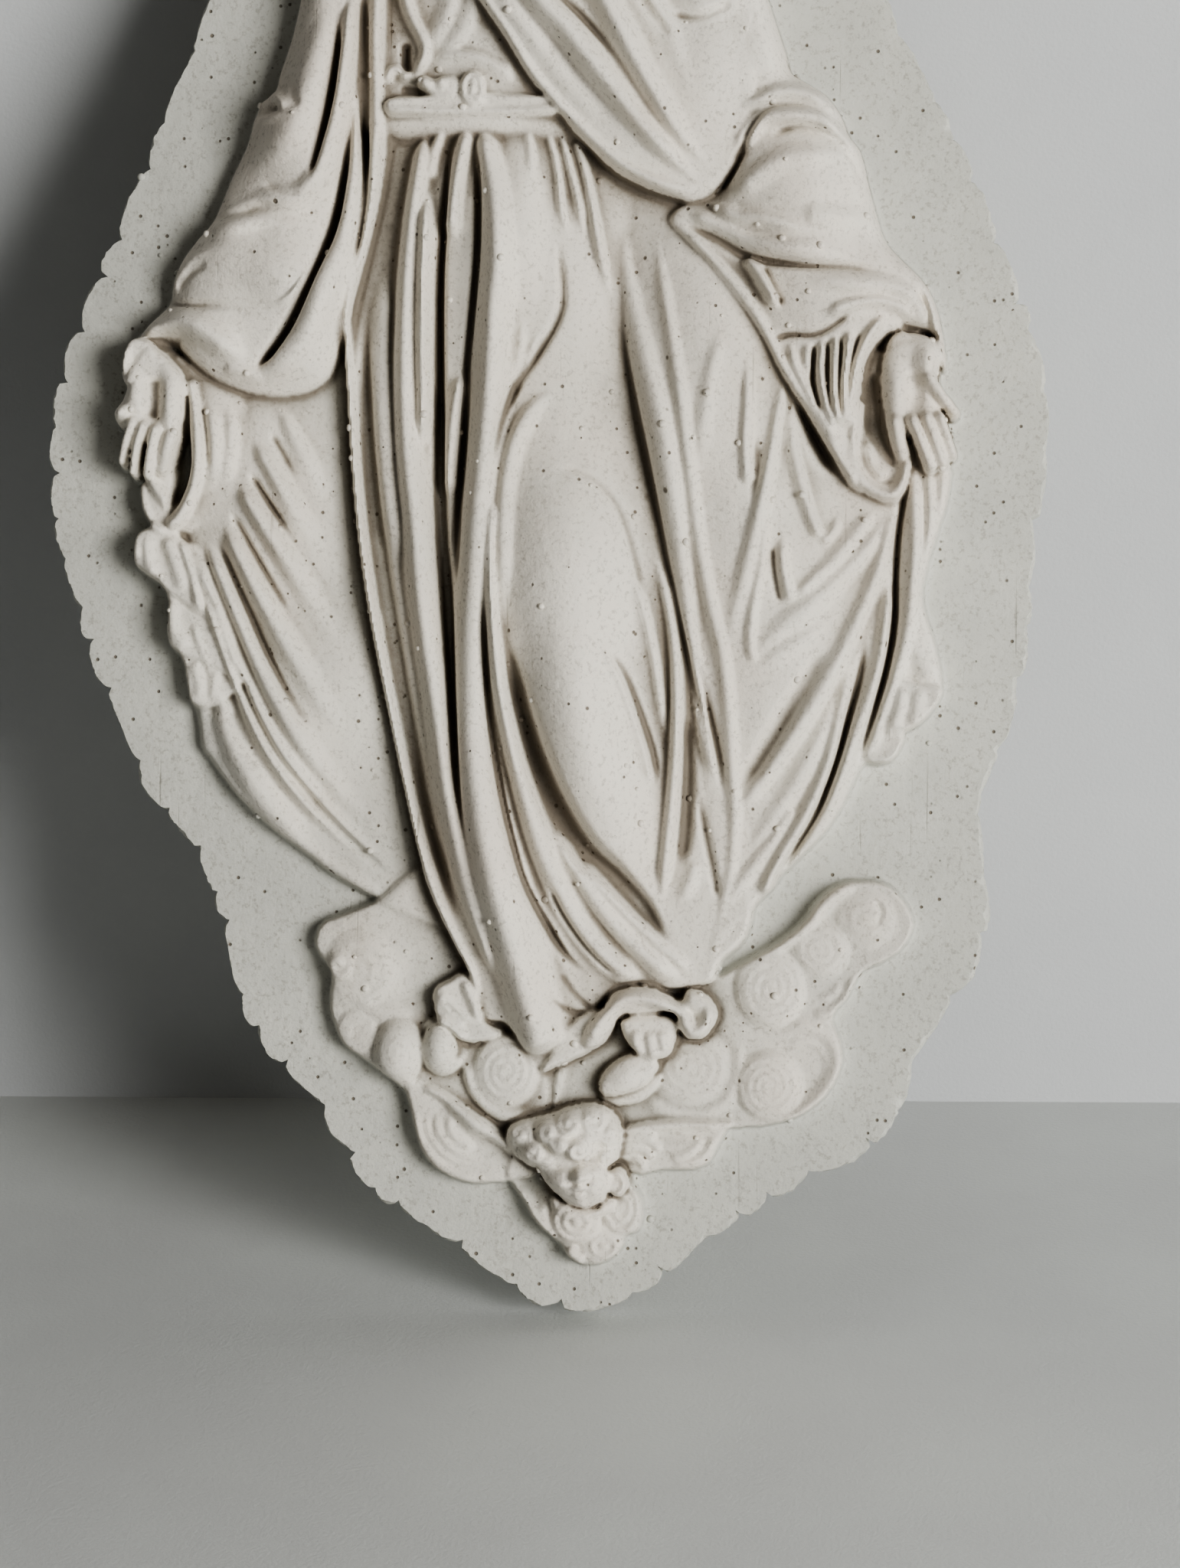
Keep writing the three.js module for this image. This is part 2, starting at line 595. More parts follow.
// The belt with its round clasp
function belt(r) {
  r.layer(
    [
      [-41, 79.6], [-41, 83.4], [-34, 84], [-26, 84.4], [-14, 84.4], [-5, 84], [4, 83.4], [5, 79.2],
      [-8, 78.8], [-22, 78.8], [-35, 79]
    ],
    14.4, 0.55, 1.2,
    {
      least: 0.3,
      folds: [
        [[[-40, 80.2], [-25, 79.8], [-10, 79.8], [4, 80.2]], 0.7, 0.5, 0.4, 0, [0, 0]],
        [[[-40, 83], [-25, 83.4], [-10, 83.4], [3, 82.8]], 0.7, 0.4, 0.4, 0, [0, 0]]
      ]
    }
  );
  r.layer(
    [
      [-32.8, 86.8], [-31.6, 89.4], [-28.6, 88.2], [-25.8, 89.2], [-22.6, 88.6], [-21.4, 86],
      [-23.6, 83.8], [-29, 84]
    ],
    14.8, 0.5, 1.6, { mounds: [[-30.6, 87.4, 2.4, 2.4, 1.2], [-26.4, 87.2, 2.2, 2.2, 1.2]] }
  );
  r.layer(
    [
      [-21.6, 85.6], [-20.7, 88.9], [-18.3, 90.2], [-15.9, 88.9], [-15, 85.6], [-15.9, 82.3],
      [-18.3, 81], [-20.7, 82.3]
    ],
    15.8, 0.6, 0.9,
    {
      grooves: [
        [
          [
            [-19.8, 85.6], [-19.3, 88], [-18.3, 88.8], [-17.3, 88], [-16.8, 85.6], [-17.3, 83.2],
            [-18.3, 82.4], [-19.3, 83.2], [-19.8, 85.6]
          ],
          0.7, 0.9, 0.4, 0, [0, 0]
        ]
      ]
    }
  );
}

// The long dress, its folds falling from the belt round the bent knee
function skirt(r) {
  const outline = [
    [-46, 79], [-50, 60], [-51.5, 40], [-53.5, 22], [-52.6, 5], [-51.6, -12], [-49.9, -31],
    [-47.2, -50], [-43.4, -70], [-38.2, -95.6], [-32.2, -121], [-25.8, -136.5], [-20.5, -147],
    [-16.6, -159.5], [-11, -161], [-5, -168], [0, -174], [5, -168], [13, -158.7], [17, -154],
    [24.4, -151], [33, -152], [44, -150], [47, -145], [56, -128], [52, -60], [40, 10], [28, 60],
    [14, 79.5], [-15, 79.2], [-40, 79.5]
  ];
  r.layer(
    outline, 7.6, 0.45, 2.4,
    {
      least: 0.3,
      mounds: [
        [-6, 52, 9, 34, 2.5], [5, -46, 32, 62, 10.5, 4], [13, -95, 22, 46, 8, 12],
        [-12, 38, 38, 62, 7.5], [12, 26, 22, 44, 2.5], [-14, -120, 22, 60, 5, 12]
      ],
      folds: [
        [
          [
            [-44, 78], [-47, 60], [-50, 45], [-52.3, 25], [-52, 5], [-51, -12], [-49.2, -31],
            [-46.5, -50], [-42.6, -70], [-37.4, -95.6], [-31.5, -121], [-25.3, -136.5],
            [-19.5, -148], [-17, -158]
          ],
          [1, 1, 2, 1.8, 1.3], [2.4, 3.2, 3.6, 3.6, 2.4], 0.35, 0, [0.02, 0.05]
        ],
        [
          [[-46.8, -40], [-44, -62], [-40.5, -82], [-36, -104], [-30.5, -124], [-26, -134]],
          [1.6, 3.4, 2.2], [2.4, 3.8, 2], 0.5
        ],
        [[[-42, 40], [-43, 20], [-42.3, 0], [-41, -20], [-38, -40]], 2.6, 1.8, 0.6],
        [
          [
            [-31, 77], [-33, 65], [-35, 50], [-36.5, 30], [-37, 10], [-36.3, -8], [-34, -30],
            [-32.5, -48], [-30.5, -64], [-28, -82], [-25.5, -100], [-20.5, -122], [-14, -142],
            [-9, -156]
          ],
          [2, 2.8, 3.4, 2.8, 2.4], [3.6, 5, 5.6, 4, 2], 0.3, 0.1, [0.04, 0.1]
        ],
        [[[-30.5, 62], [-31.5, 40], [-32, 20], [-32, 4], [-32.8, -12]], 1.7, 4.6, 0.3],
        [[[-29.8, -84], [-26.5, -102], [-21.5, -122], [-16, -138], [-11.8, -150]], 1.5, 3, 0.2],
        [[[-26, 77], [-29, 70], [-30.5, 62]], 1.5, 2.4, 0.3],
        [[[-19.5, 77.5], [-22, 66], [-23.5, 55], [-24, 46]], 1.9, 3.4, 0.3],
        [[[-20.5, 12], [-22.4, 7], [-24, -1], [-25, -11], [-25.4, -22]], 1.6, 2.8, 0.4],
        [
          [
            [-17, 78], [-14.5, 68], [-12.8, 55], [-12, 40], [-12.8, 25], [-14, 8], [-16, -8],
            [-17.8, -24], [-19.3, -45], [-19.9, -62], [-19, -80], [-17.5, -96], [-14.5, -114],
            [-10, -132], [-5, -150], [0, -170]
          ],
          [2.4, 3.6, 3.8, 4.4, 6, 5], [3.6, 5, 5.4, 5.2, 6.4, 5.6], 0.35, 0.1, [0.03, 0.02]
        ],
        [
          [
            [-13, -18], [-14, -35], [-13.4, -52], [-11.8, -70], [-8.6, -86], [-5, -100],
            [-0.5, -114], [5, -126], [11, -136.5], [18, -144.5], [27, -150]
          ],
          [1.4, 1.6, 2.6, 3.2, 2.6], [3.6, 4.4, 4.8, 4.6, 2.8], 0.25, 0, [0.06, 0.05]
        ],
        [[[0.5, 78], [3.6, 66], [5, 54], [6.8, 46]], 1, 1.7, 0.4, 0, [0.02, 0.3]],
        [[[4, 77], [7, 66], [9.4, 56], [11, 46]], 1.1, 1.9, 0.4, 0, [0.02, 0.3]],
        [[[8, 74], [10.8, 66], [12.8, 56], [15, 44], [18, 30]], 1.3, 2.3, 0.4, 0, [0.05, 0.3]],
        [[[-4, 77], [-3, 69], [-2.6, 60]], 1.2, 1.2, 0.5, 0, [0.02, 0.5]],
        [[[-9.8, 30], [-9.6, 18], [-10, 6]], 0.9, 1.3, 0.4, 0, [0.3, 0.3]],
        [[[-5, 26], [-6.4, 16], [-9, 5]], 1.1, 1.4, 0.4, 0, [0.3, 0.3]],
        [[[-1, 22], [-4, 14], [-8.6, 5]], 1, 1.1, 0.4, 0, [0.3, 0.3]],
        [
          [
            [4, 7], [-1.6, 3.4], [-6, -2.6], [-9, -10], [-10.8, -20], [-11.4, -34], [-11.2, -50],
            [-11, -60]
          ],
          [1.8, 2.2, 2, 1.4], [1.6, 2.6, 2.2, 1.2], 0.4, 0.2, [0.15, 0.3]
        ],
        [
          [[2, -108], [7, -118], [13, -127.5], [20.5, -136.5], [29, -144.5], [37, -149.5]], 2.4,
          2.6, 0.35
        ],
        [[[9, -115], [15, -124], [22.5, -132.5], [31, -140.5], [40, -148]], 1.7, 1.6, 0.35],
        [
          [[23, -40], [27, -52], [29.4, -64], [31, -76], [33, -88]], 1.3, [0.8, 2, 1.6], 0.4, 0,
          [0.2, 0.3]
        ],
        [
          [
            [29, -34], [32.6, -48], [34.4, -60], [35, -72], [34.8, -86], [34, -100], [32.5, -115],
            [31, -128]
          ],
          [1.4, 1.7, 1.6], [1.8, 3.2, 2.6], 0.35, 0.15, [0.15, 0.1]
        ],
        [
          [[15, -60], [20, -69], [24, -80], [27, -90], [28.5, -98]], 1.2, [0.8, 1.4, 1.2], 0.4, 0.3,
          [0.2, 0.1]
        ],
        [[[40, -117.6], [38.7, -123], [35.4, -129]], 1.7, 1.1, 0.6, 0, [0.1, 0.4]]
      ],
      grooves: [
        [
          [
            [-24, 78], [-25.5, 60], [-27, 40], [-27.6, 15], [-27.9, -10], [-27.6, -31], [-26, -52],
            [-24.6, -78], [-22.9, -98], [-19.6, -117]
          ],
          [1.2, 1.8, 2.4, 1.6], [3, 4.5, 5, 3], 0.2
        ],
        [
          [
            [-17.6, 76], [-17, 64], [-17, 48], [-18.4, 30], [-20.5, 12], [-21.4, -6], [-22.8, -24],
            [-23.2, -50]
          ],
          1.4, [2.4, 2.6, 1.6], 0.3
        ],
        [
          [
            [-47.6, 30], [-47.6, 0], [-45.6, -28], [-41, -60], [-37, -84], [-32, -106], [-26, -124],
            [-21, -138]
          ],
          [2.2, 4.2, 4.6, 2.8], [2, 3.6, 4.2, 2.4], 0.7
        ],
        [
          [
            [-16, -42], [-15.6, -62], [-14.4, -80], [-11.6, -98], [-8.4, -112], [-4.8, -124],
            [0.5, -134.5], [6, -143], [13, -149]
          ],
          [0.9, 1.3, 1.4], [2.4, 3, 2.2], 0.2
        ],
        [[[1, -123], [5, -131.5], [10, -139], [15.5, -145], [20.5, -148.5]], 1, 1.8, 0.2],
        [
          [
            [3.6, 48], [5, 38], [5.4, 30], [3.6, 24], [0, 18], [-5, 11], [-9.4, 3], [-11.8, -5],
            [-13.6, -16]
          ],
          [1.3, 1.8, 1.4], [0.8, 1.8, 2, 1.4], 0.5, -0.2
        ],
        [
          [
            [-9.6, -58], [-6.5, -74], [-2, -90], [4, -103.5], [11, -114.5], [18.5, -121.5],
            [26, -130], [34, -140.5]
          ],
          [3.2, 5.4, 5.6, 2.8], [1.5, 5, 5.4, 2.6], 0.7
        ],
        [
          [[2, -14], [8, -14.5], [13, -17], [18, -22], [21, -28], [24, -38], [26, -48]], 1.2, 0.8,
          0.5, 0.4
        ],
        [
          [[17, -60.5], [22, -69], [26, -80], [29, -90], [30, -98]], 1.5, [0.9, 1.8, 1.4], 0.5, -0.2
        ],
        [[[37.4, -78], [38, -92], [37.8, -106], [36.4, -120]], [2.4, 3.4, 2.8], [1, 2, 1.4], 0.9],
        [[[40, -97], [42.4, -110], [44.2, -119], [45.8, -128]], 1.4, 1.2, 0.5, 0.3, [0.3, 0.1]],
        [[[1, -151], [3, -155], [8, -158], [13, -158]], 0.9, 0.9, 0.3],
        [[[4, -147], [8, -153], [13, -157.5]], 0.8, 0.9, 0.3]
      ]
    }
  );
}

// The open mantle at the viewer's right, drawn up towards the hand
function rightMantle(r) {
  r.layer(
    [
      [12.6, 55], [17, 36], [20.7, 20], [25, 0], [29, -20], [32.6, -40], [35, -52.6], [38.4, -69.8],
      [41.8, -91.3], [44.6, -110], [46.6, -128], [43.6, -143], [50, -135], [59, -127], [64.8, -120],
      [73, -112], [78.7, -104], [85, -92], [91.4, -91.3], [94.6, -87.5], [95.5, -83.7],
      [101.2, -79.6], [105.5, -72.3], [103.6, -60], [100.4, -48.5], [102, -38], [104.5, -29.7],
      [107, -21.5], [107.7, -12], [104, 5], [90, 30], [60, 62], [30, 72], [16, 66]
    ],
    7.6, 0.5, 3.5,
    {
      least: 0.3,
      mounds: [[42, 10, 34, 70, 7.5], [58, -60, 34, 54, 4], [70, -24, 30, 36, 2.4]],
      folds: [
        [
          [
            [20, 58], [21, 44], [23.4, 30], [27, 14], [31, -2], [34, -20], [36.6, -40], [39, -60],
            [41.4, -75], [43.4, -87], [45.4, -96]
          ],
          [1.8, 2.6, 3.2, 2.2, 1.2], [1, 1.7, 2.4, 2.2, 1.6], 0.45, -0.15, [0.1, 0.04]
        ],
        [
          [
            [29.6, 50], [31, 38], [33.6, 22], [36, 6], [38.4, -14], [41, -34], [44.6, -52],
            [47, -62], [48.6, -76], [49.6, -90], [50.4, -103], [50, -115], [48.5, -125],
            [45.4, -135], [44, -143]
          ],
          [1.3, 1.8, 1.6, 1.4], [1, 1.4, 1.6, 1.4, 0.7], 0.45, 0, [0.1, 0.1]
        ],
        [[[47, 22], [44.4, 10], [42, -4], [41.4, -16]], [1.6, 2.4], 0.9, 0.6, 0, [0.2, 0.4]],
        [
          [[53.8, 16], [53.8, 4], [53.2, -8], [53.8, -18.6]], [1.2, 1.5, 1.5], 1.6, 0.4, 0.2,
          [0.3, 0.06]
        ],
        [
          [[63.6, 10], [61.4, -2], [59.4, -14], [56.4, -28], [53, -42], [49.6, -56], [48, -68]],
          [1.2, 1.9, 2.6], [1.6, 2, 1.6, 0.7], 0.4, 0.1, [0.1, 0.4]
        ],
        [
          [[59, -24], [57.6, -38], [55.4, -50], [54.6, -57], [54.8, -62.4], [56.2, -65.4]], 1.2,
          1.2, 0.4, 0, [0.15, 0.05]
        ],
        [
          [[65, 2], [66, -8], [68, -17], [70.4, -26], [73.4, -33]], [1.3, 1.6, 1.4], [1, 2, 2], 0.4,
          -0.1, [0.2, 0.08]
        ],
        [[[73.4, -33.4], [76.4, -30.6], [78, -26]], 1.1, 1.3, 0.4, 0, [0.05, 0.4]],
        [[[63.2, -31], [63.4, -40], [65.4, -49]], 1.4, 1.9, 0.4, -0.1, [0.3, 0.08]],
        [
          [[65.4, -48.6], [71, -43.6], [77, -38], [82.4, -31.4], [87.6, -24.6]], [1.2, 2, 1.7],
          [1.6, 1.7, 1.2], 0.45
        ],
        [
          [[50, -70], [56, -63], [63, -56], [71, -49.6], [79, -42], [86, -34], [91, -26]],
          [2.4, 2.6, 1.8], [0.6, 1.6, 1.7], 0.45, 0, [0.4, 0.15]
        ],
        [
          [
            [92.3, -24], [88.6, -40], [84, -51.5], [79.4, -61.6], [75, -70], [71, -77], [65, -86],
            [58, -96], [51, -104.6]
          ],
          [1.3, 1.9, 2.2, 1.6], [1.7, 2.3, 2.2, 1.3], 0.4, -0.1, [0.1, 0.08]
        ],
        [
          [[76, -54], [70, -58], [62, -63], [55, -67.5]], [1.6, 2.4, 1.6], [0.4, 1, 0.4], 0.6, 0,
          [0.3, 0.3]
        ],
        [
          [
            [91, -44], [90.4, -52], [88.8, -64], [86, -74], [82.4, -84], [79.6, -92], [76.6, -100],
            [73.4, -107.6]
          ],
          [1.2, 1.6, 1.7, 1.2], [1.7, 2.4, 2.3, 1.3], 0.4, 0, [0.1, 0.15]
        ],
        [
          [
            [81, -62], [79.4, -73], [77.4, -82], [75.4, -91], [71.8, -100], [68, -107.6],
            [64, -114], [60.6, -121], [58.2, -127.6]
          ],
          [1.1, 1.7, 1.8, 1.6], [1, 2, 2.3, 2.2], 0.4, 0, [0.15, 0.04]
        ],
        [
          [[79, -68], [76.2, -77], [72, -87], [66, -98], [58, -110], [51, -119]], [1.4, 2.2, 2],
          [0.9, 1.4, 0.9], 0.5, 0, [0.3, 0.3]
        ],
        [
          [[65.5, -103], [62, -110], [57, -117], [51, -125], [47, -133]], [1.2, 1.8, 1.8],
          [1.2, 1.4, 0.7], 0.45, 0, [0.05, 0.3]
        ],
        [
          [
            [97.6, -12], [98, -26], [97.6, -40], [96, -57], [93, -68], [90, -76], [87.2, -84.6],
            [84.6, -91]
          ],
          [1.4, 1.8, 1.4], [1.7, 2.2, 1.4], 0.45, 0, [0.1, 0.1]
        ],
        [[[101.4, -14], [102, -28], [100.6, -40]], 1.2, 1.3, 0.45],
        [[[105.4, -14], [104.8, -26], [102.4, -37]], 1.1, 1, 0.45],
        [[[95, -54], [98.6, -63], [102.6, -70]], 2.2, 0.9, 0.5],
        [[[92, -68], [94, -76], [92, -84]], 2, 0.9, 0.5]
      ],
      grooves: [
        [
          [
            [13.4, 52], [16.4, 38], [20, 22], [23.4, 6], [26.8, -10], [30, -28], [33.4, -46],
            [38, -64], [42, -80], [45, -96]
          ],
          [1.2, 1.9, 2.4, 2.2, 1.6], [1.9, 3.2, 4, 3.3, 1.4], 0.4, -0.3
        ],
        [
          [
            [96, -16], [93.8, -29.7], [93, -41], [92.6, -54], [90.8, -65], [87.8, -77], [84.4, -88],
            [80.6, -98]
          ],
          [1.1, 1.7, 1.6], [2.2, 3.2, 2.6, 0.9], 0.4, 0, [0.1, 0.3]
        ],
        [
          [
            [85.4, -56], [83.6, -68], [81, -78], [78.4, -88], [75, -98], [71.4, -106], [67, -113.4],
            [63, -120], [60, -126]
          ],
          [1.1, 1.5, 1.6, 1.4], [1, 2.4, 2.6, 2.2], 0.4, 0, [0.15, 0.05]
        ],
        [
          [[75, -60], [70.6, -67], [66, -75], [61, -84], [56.4, -91.6], [52, -99]], [2, 4.2, 3.4],
          [0.6, 1.7, 1.2], 0.8
        ],
        [
          [[38.8, -58], [41.6, -70], [44.4, -82], [46.6, -92], [47.2, -101]], [1, 1.6, 1.4],
          [0.9, 2.2, 1.2], 0.4, 0, [0.2, 0.2]
        ],
        [[[92.5, -68.2], [97.5, -70], [104.5, -72.6]], 0.9, 1.2, 0.3, -0.3],
        [
          [[66.4, 6], [70, -2], [74, -10], [78, -17]], [1.6, 3.6, 3], [1.7, 3.3, 2.6], 0.6, 0,
          [0.2, 0.3]
        ],
        [[[56.4, -4], [56, -14], [54.8, -26]], [1.4, 2], 0.9, 0.6, 0, [0.3, 0.5]],
        [[[60.4, -34], [61, -42], [62.4, -50]], 1.2, 0.9, 0.5]
      ]
    }
  );
  r.layer(
    [[85, -88], [86, -91.8], [91.4, -91.4], [94.6, -87.5], [95.2, -84], [90, -82]], 8, 0.6, 1.6,
    { least: 0.4 }
  );
  r.layer(
    [[90, -83.5], [92.5, -68.5], [97.5, -70], [105.4, -72.4], [101.2, -79.6], [95.8, -83.4]], 8.8,
    0.6, 2,
    {
      least: 0.4,
      folds: [
        [[[94.5, -71], [94, -77], [92, -83]], 1.4, 1, 0.4],
        [[[99, -72], [98.5, -77], [97, -82]], 1.7, 0.9, 0.5]
      ]
    }
  );
}

// The mantle's end drawn across the breast from the viewer's left shoulder
function shawl(r) {
  r.layer(
    [
      [-44, 130], [-32, 121], [-22, 116], [-18, 111], [-14, 105], [-10.8, 100.5], [-8, 96],
      [-5, 91], [-2, 86.6], [1.4, 83], [5, 78.6], [9, 73.6], [13.6, 69], [18.6, 64.4], [22.6, 62],
      [28, 59.4], [33.4, 57.4], [38.4, 56.2], [44.4, 57.8], [50, 64], [56, 74], [58, 90], [56, 112],
      [50, 134], [40, 152], [22, 163], [8, 164], [-2, 158], [-12, 156], [-22, 158], [-32, 165],
      [-46, 159], [-52, 148], [-50, 136]
    ],
    14.2, 0.6, 3,
    {
      least: 0.3,
      mounds: [[4, 116, 42, 44, 5], [30, 84, 30, 34, 3.4, 30], [46, 96, 18, 30, 2]],
      folds: [
        [
          [
            [-44, 134], [-32, 125], [-21, 117.6], [-14.6, 107.6], [-8.6, 98.6], [-3.4, 90],
            [3.4, 82], [12.4, 72.4], [21.6, 64.6], [33, 59.4], [42, 58.8]
          ],
          [1.2, 1.3, 1.3], [1.2, 1.4, 1.6], 0.4, 0, [0.1, 0.1]
        ],
        [
          [
            [-46, 148], [-32, 138], [-19, 127], [-7, 115.6], [0, 106.6], [6.4, 99.8], [12.4, 92],
            [18.4, 84.6], [25, 76.2], [31.4, 69.2], [38, 63.2], [43.6, 59.6]
          ],
          [2.4, 3.6, 3, 1.6], [1.8, 3, 3.2, 2], 0.45, 0.15
        ],
        [
          [
            [-38, 156], [-22, 145], [-6, 133], [6, 121], [14, 111.6], [19.6, 101.6], [24, 93],
            [29, 84], [34, 75.6], [39, 69.4], [45, 63.6]
          ],
          [2.4, 3.4, 3, 1.6], [1.6, 2.6, 3.2, 2], 0.45, 0.15
        ],
        [
          [[-24, 160], [-8, 150], [8, 138], [20, 124], [28, 110], [34, 97], [38, 86], [43, 76]],
          [2.4, 3.6, 3.6, 2], [1.2, 2.2, 1.8, 0.8], 0.55, 0, [0.15, 0.4]
        ],
        [
          [[0, 158], [14, 147], [27, 132], [35, 117], [42, 107.6], [51, 109], [57, 113]],
          [2.4, 4, 3], [1.4, 2.2, 1.2], 0.5
        ],
        [[[16, 160], [30, 148], [41, 133], [48, 122]], [2.5, 4.5, 3], [1.4, 2, 1.2], 0.55],
        [
          [[-30, 130], [-16, 116], [-7, 104], [0, 94.6], [8, 84], [16, 75.6]], 2.4, [0.4, 0.9, 0.5],
          0.6
        ]
      ],
      grooves: [
        [
          [[-4, 117], [3.4, 109.6], [10, 103.6], [16.4, 96.4], [22, 88]], [1.6, 1.8, 1],
          [1.2, 1.6, 0.6], 0.5, 0, [0.1, 0.4]
        ],
        [[[24, 112], [29, 104], [34, 97.6]], 1.6, 1, 0.5],
        [[[34, 104], [41, 103.4], [50, 107]], 1.4, 1, 0.5]
      ]
    }
  );
}

// The sleeve at the viewer's left
function leftArm(r) {
  r.layer(
    [
      [-41, 120], [-40.5, 92], [-40.5, 78], [-43, 60], [-46.5, 45], [-50, 32], [-53, 22], [-55, 16],
      [-57.5, 11], [-62, 7.5], [-68, 6], [-74, 6], [-80, 7], [-86, 9], [-91, 12], [-95, 15.5],
      [-98, 18.5], [-103, 20.4], [-107, 19.4], [-110.6, 20.4], [-107.5, 24.4], [-103.4, 28.4],
      [-100.8, 31.5], [-99.4, 38], [-97, 43.4], [-93.2, 48], [-89.7, 52], [-87, 57.5], [-84, 65],
      [-80, 73], [-78, 80], [-76, 84.4], [-72.4, 87.2], [-71, 92], [-68, 101], [-65.5, 111],
      [-62, 128], [-58, 142], [-52, 153], [-44, 160], [-36, 158], [-38, 140]
    ],
    9.5, 0.3, 9,
    {
      least: 0.3,
      mounds: [
        [-56, 118, 18, 44, 5.5], [-64, 74, 20, 34, 6], [-78, 42, 24, 22, 5.5, 15],
        [-62, 30, 20, 26, 4.5], [-84, 20, 24, 16, 3.5, -25]
      ],
      folds: [
        [
          [
            [-40, 142], [-42.5, 120], [-43.6, 100], [-43.8, 84], [-43.9, 72], [-45.2, 58],
            [-47.6, 46], [-50, 34], [-53, 22]
          ],
          [1.6, 2, 2, 1.4], [3.6, 4.6, 4.4, 2.8], 0.3, 0, [0.08, 0.05]
        ],
        [
          [
            [-50, 112], [-51.6, 96], [-53, 84], [-55.6, 72], [-59.4, 63], [-65, 58.4], [-73, 58.2],
            [-81, 55.6], [-89, 52.4]
          ],
          [1.4, 2.2, 2.6, 2.6, 2.4], [2.4, 3.8, 3.2, 1.8, 0.8], 0.4, 0.15, [0.1, 0.3]
        ],
        [
          [
            [-48.6, 92], [-49.2, 78], [-49.6, 64], [-51.4, 52], [-53.6, 42], [-56.6, 33],
            [-60.5, 24.5], [-66, 16.5], [-73, 11], [-81, 9.4]
          ],
          [0.9, 1.3, 2.4, 4.4, 4.2, 2.4], [1.6, 3, 3.8, 4, 3, 1.6], 0.4, 0, [0.1, 0.15]
        ],
        [
          [[-57, 48.5], [-60.5, 41], [-64, 35], [-69, 30], [-75, 27.5]], [1, 1.3, 1.2],
          [0.9, 1.8, 0.8], 0.4, 0, [0.3, 0.5]
        ],
        [[[-72.8, 86.6], [-70, 83.6], [-66.4, 79.8]], 1.3, 2, 0.3, 0, [0.1, 0.3]],
        [[[-66.4, 79.8], [-70, 78.6], [-76.5, 78.8]], 1.3, 1, 0.4],
        [
          [[-56, 108], [-59, 95], [-63, 82], [-69, 71], [-77, 62]], [3, 4.4, 4.4], [1.2, 2, 1], 0.7,
          0, [0.2, 0.4]
        ],
        [[[-100, 33], [-98, 38], [-93.6, 42.4], [-86, 44.6]], [1.3, 1.6], 1.4, 0.4, 0, [0.1, 0.5]],
        [
          [[-96.5, 45], [-90, 49.4], [-82, 50.2], [-73, 51.6], [-66, 49]], [1.4, 2.2, 1.6], 1.4,
          0.5, 0.2, [0.1, 0.4]
        ],
        [
          [[-107.6, 22], [-102, 25], [-95, 25], [-89, 22.4], [-83, 18], [-78, 14]], [2.4, 3, 2.6],
          [2.6, 3.6, 1.8], 0.4, 0, [0.1, 0.25]
        ],
        [[[-85, 13], [-79, 11.6], [-74, 9.6]], 1.6, 1.2, 0.4],
        [[[-55, 26], [-57.5, 20], [-62, 14], [-68, 9.6]], [1.4, 2], 1.4, 0.5, 0, [0.3, 0.3]]
      ],
      grooves: [
        [
          [[-47.6, 114], [-47.6, 95], [-47.8, 78], [-47, 62], [-48.8, 48], [-51, 37]],
          [1.6, 1.4, 0.9], [4.4, 5, 2.4], 0.4
        ],
        [
          [[-53.4, 106], [-54.6, 94], [-56.6, 82], [-59, 71], [-61.6, 62]], [1.3, 1.7, 1.1],
          [2, 4, 2.4], 0.4, 0, [0.2, 0.1]
        ],
        [
          [
            [-51, 78], [-52.8, 64], [-55.6, 51], [-59.4, 41], [-63.6, 31], [-68, 23], [-73, 16.5],
            [-77.5, 12.4]
          ],
          [0.9, 1.8, 1.9, 1.7], [2.2, 3.8, 4.4, 4.2], 0.4, 0, [0.2, 0.1]
        ],
        [[[-58.6, 47], [-62.4, 38.6], [-67, 32.6], [-73, 29]], 1.3, 1.6, 0.5, 0, [0.3, 0.5]],
        [[[-78, 82], [-74, 80.6], [-69, 82]], 2.2, 1.8, 0.5],
        [[[-65.4, 87], [-65.6, 83.6], [-64, 81]], 2, 1, 0.6],
        [[[-90, 53], [-82, 53.8], [-74, 55.4], [-68, 54]], 1.9, 1.3, 0.5, 0, [0.2, 0.4]],
        [[[-74, 62], [-69, 59.4], [-63.4, 58.2]], 1.2, 0.8, 0.5],
        [[[-101, 31], [-94, 30], [-86, 29.6], [-78, 28]], [1.2, 2], 1.4, 0.5, 0, [0.05, 0.6]],
        [[[-98, 34], [-94, 38.4], [-89, 40.6]], 1.5, 1, 0.5]
      ]
    }
  );
}

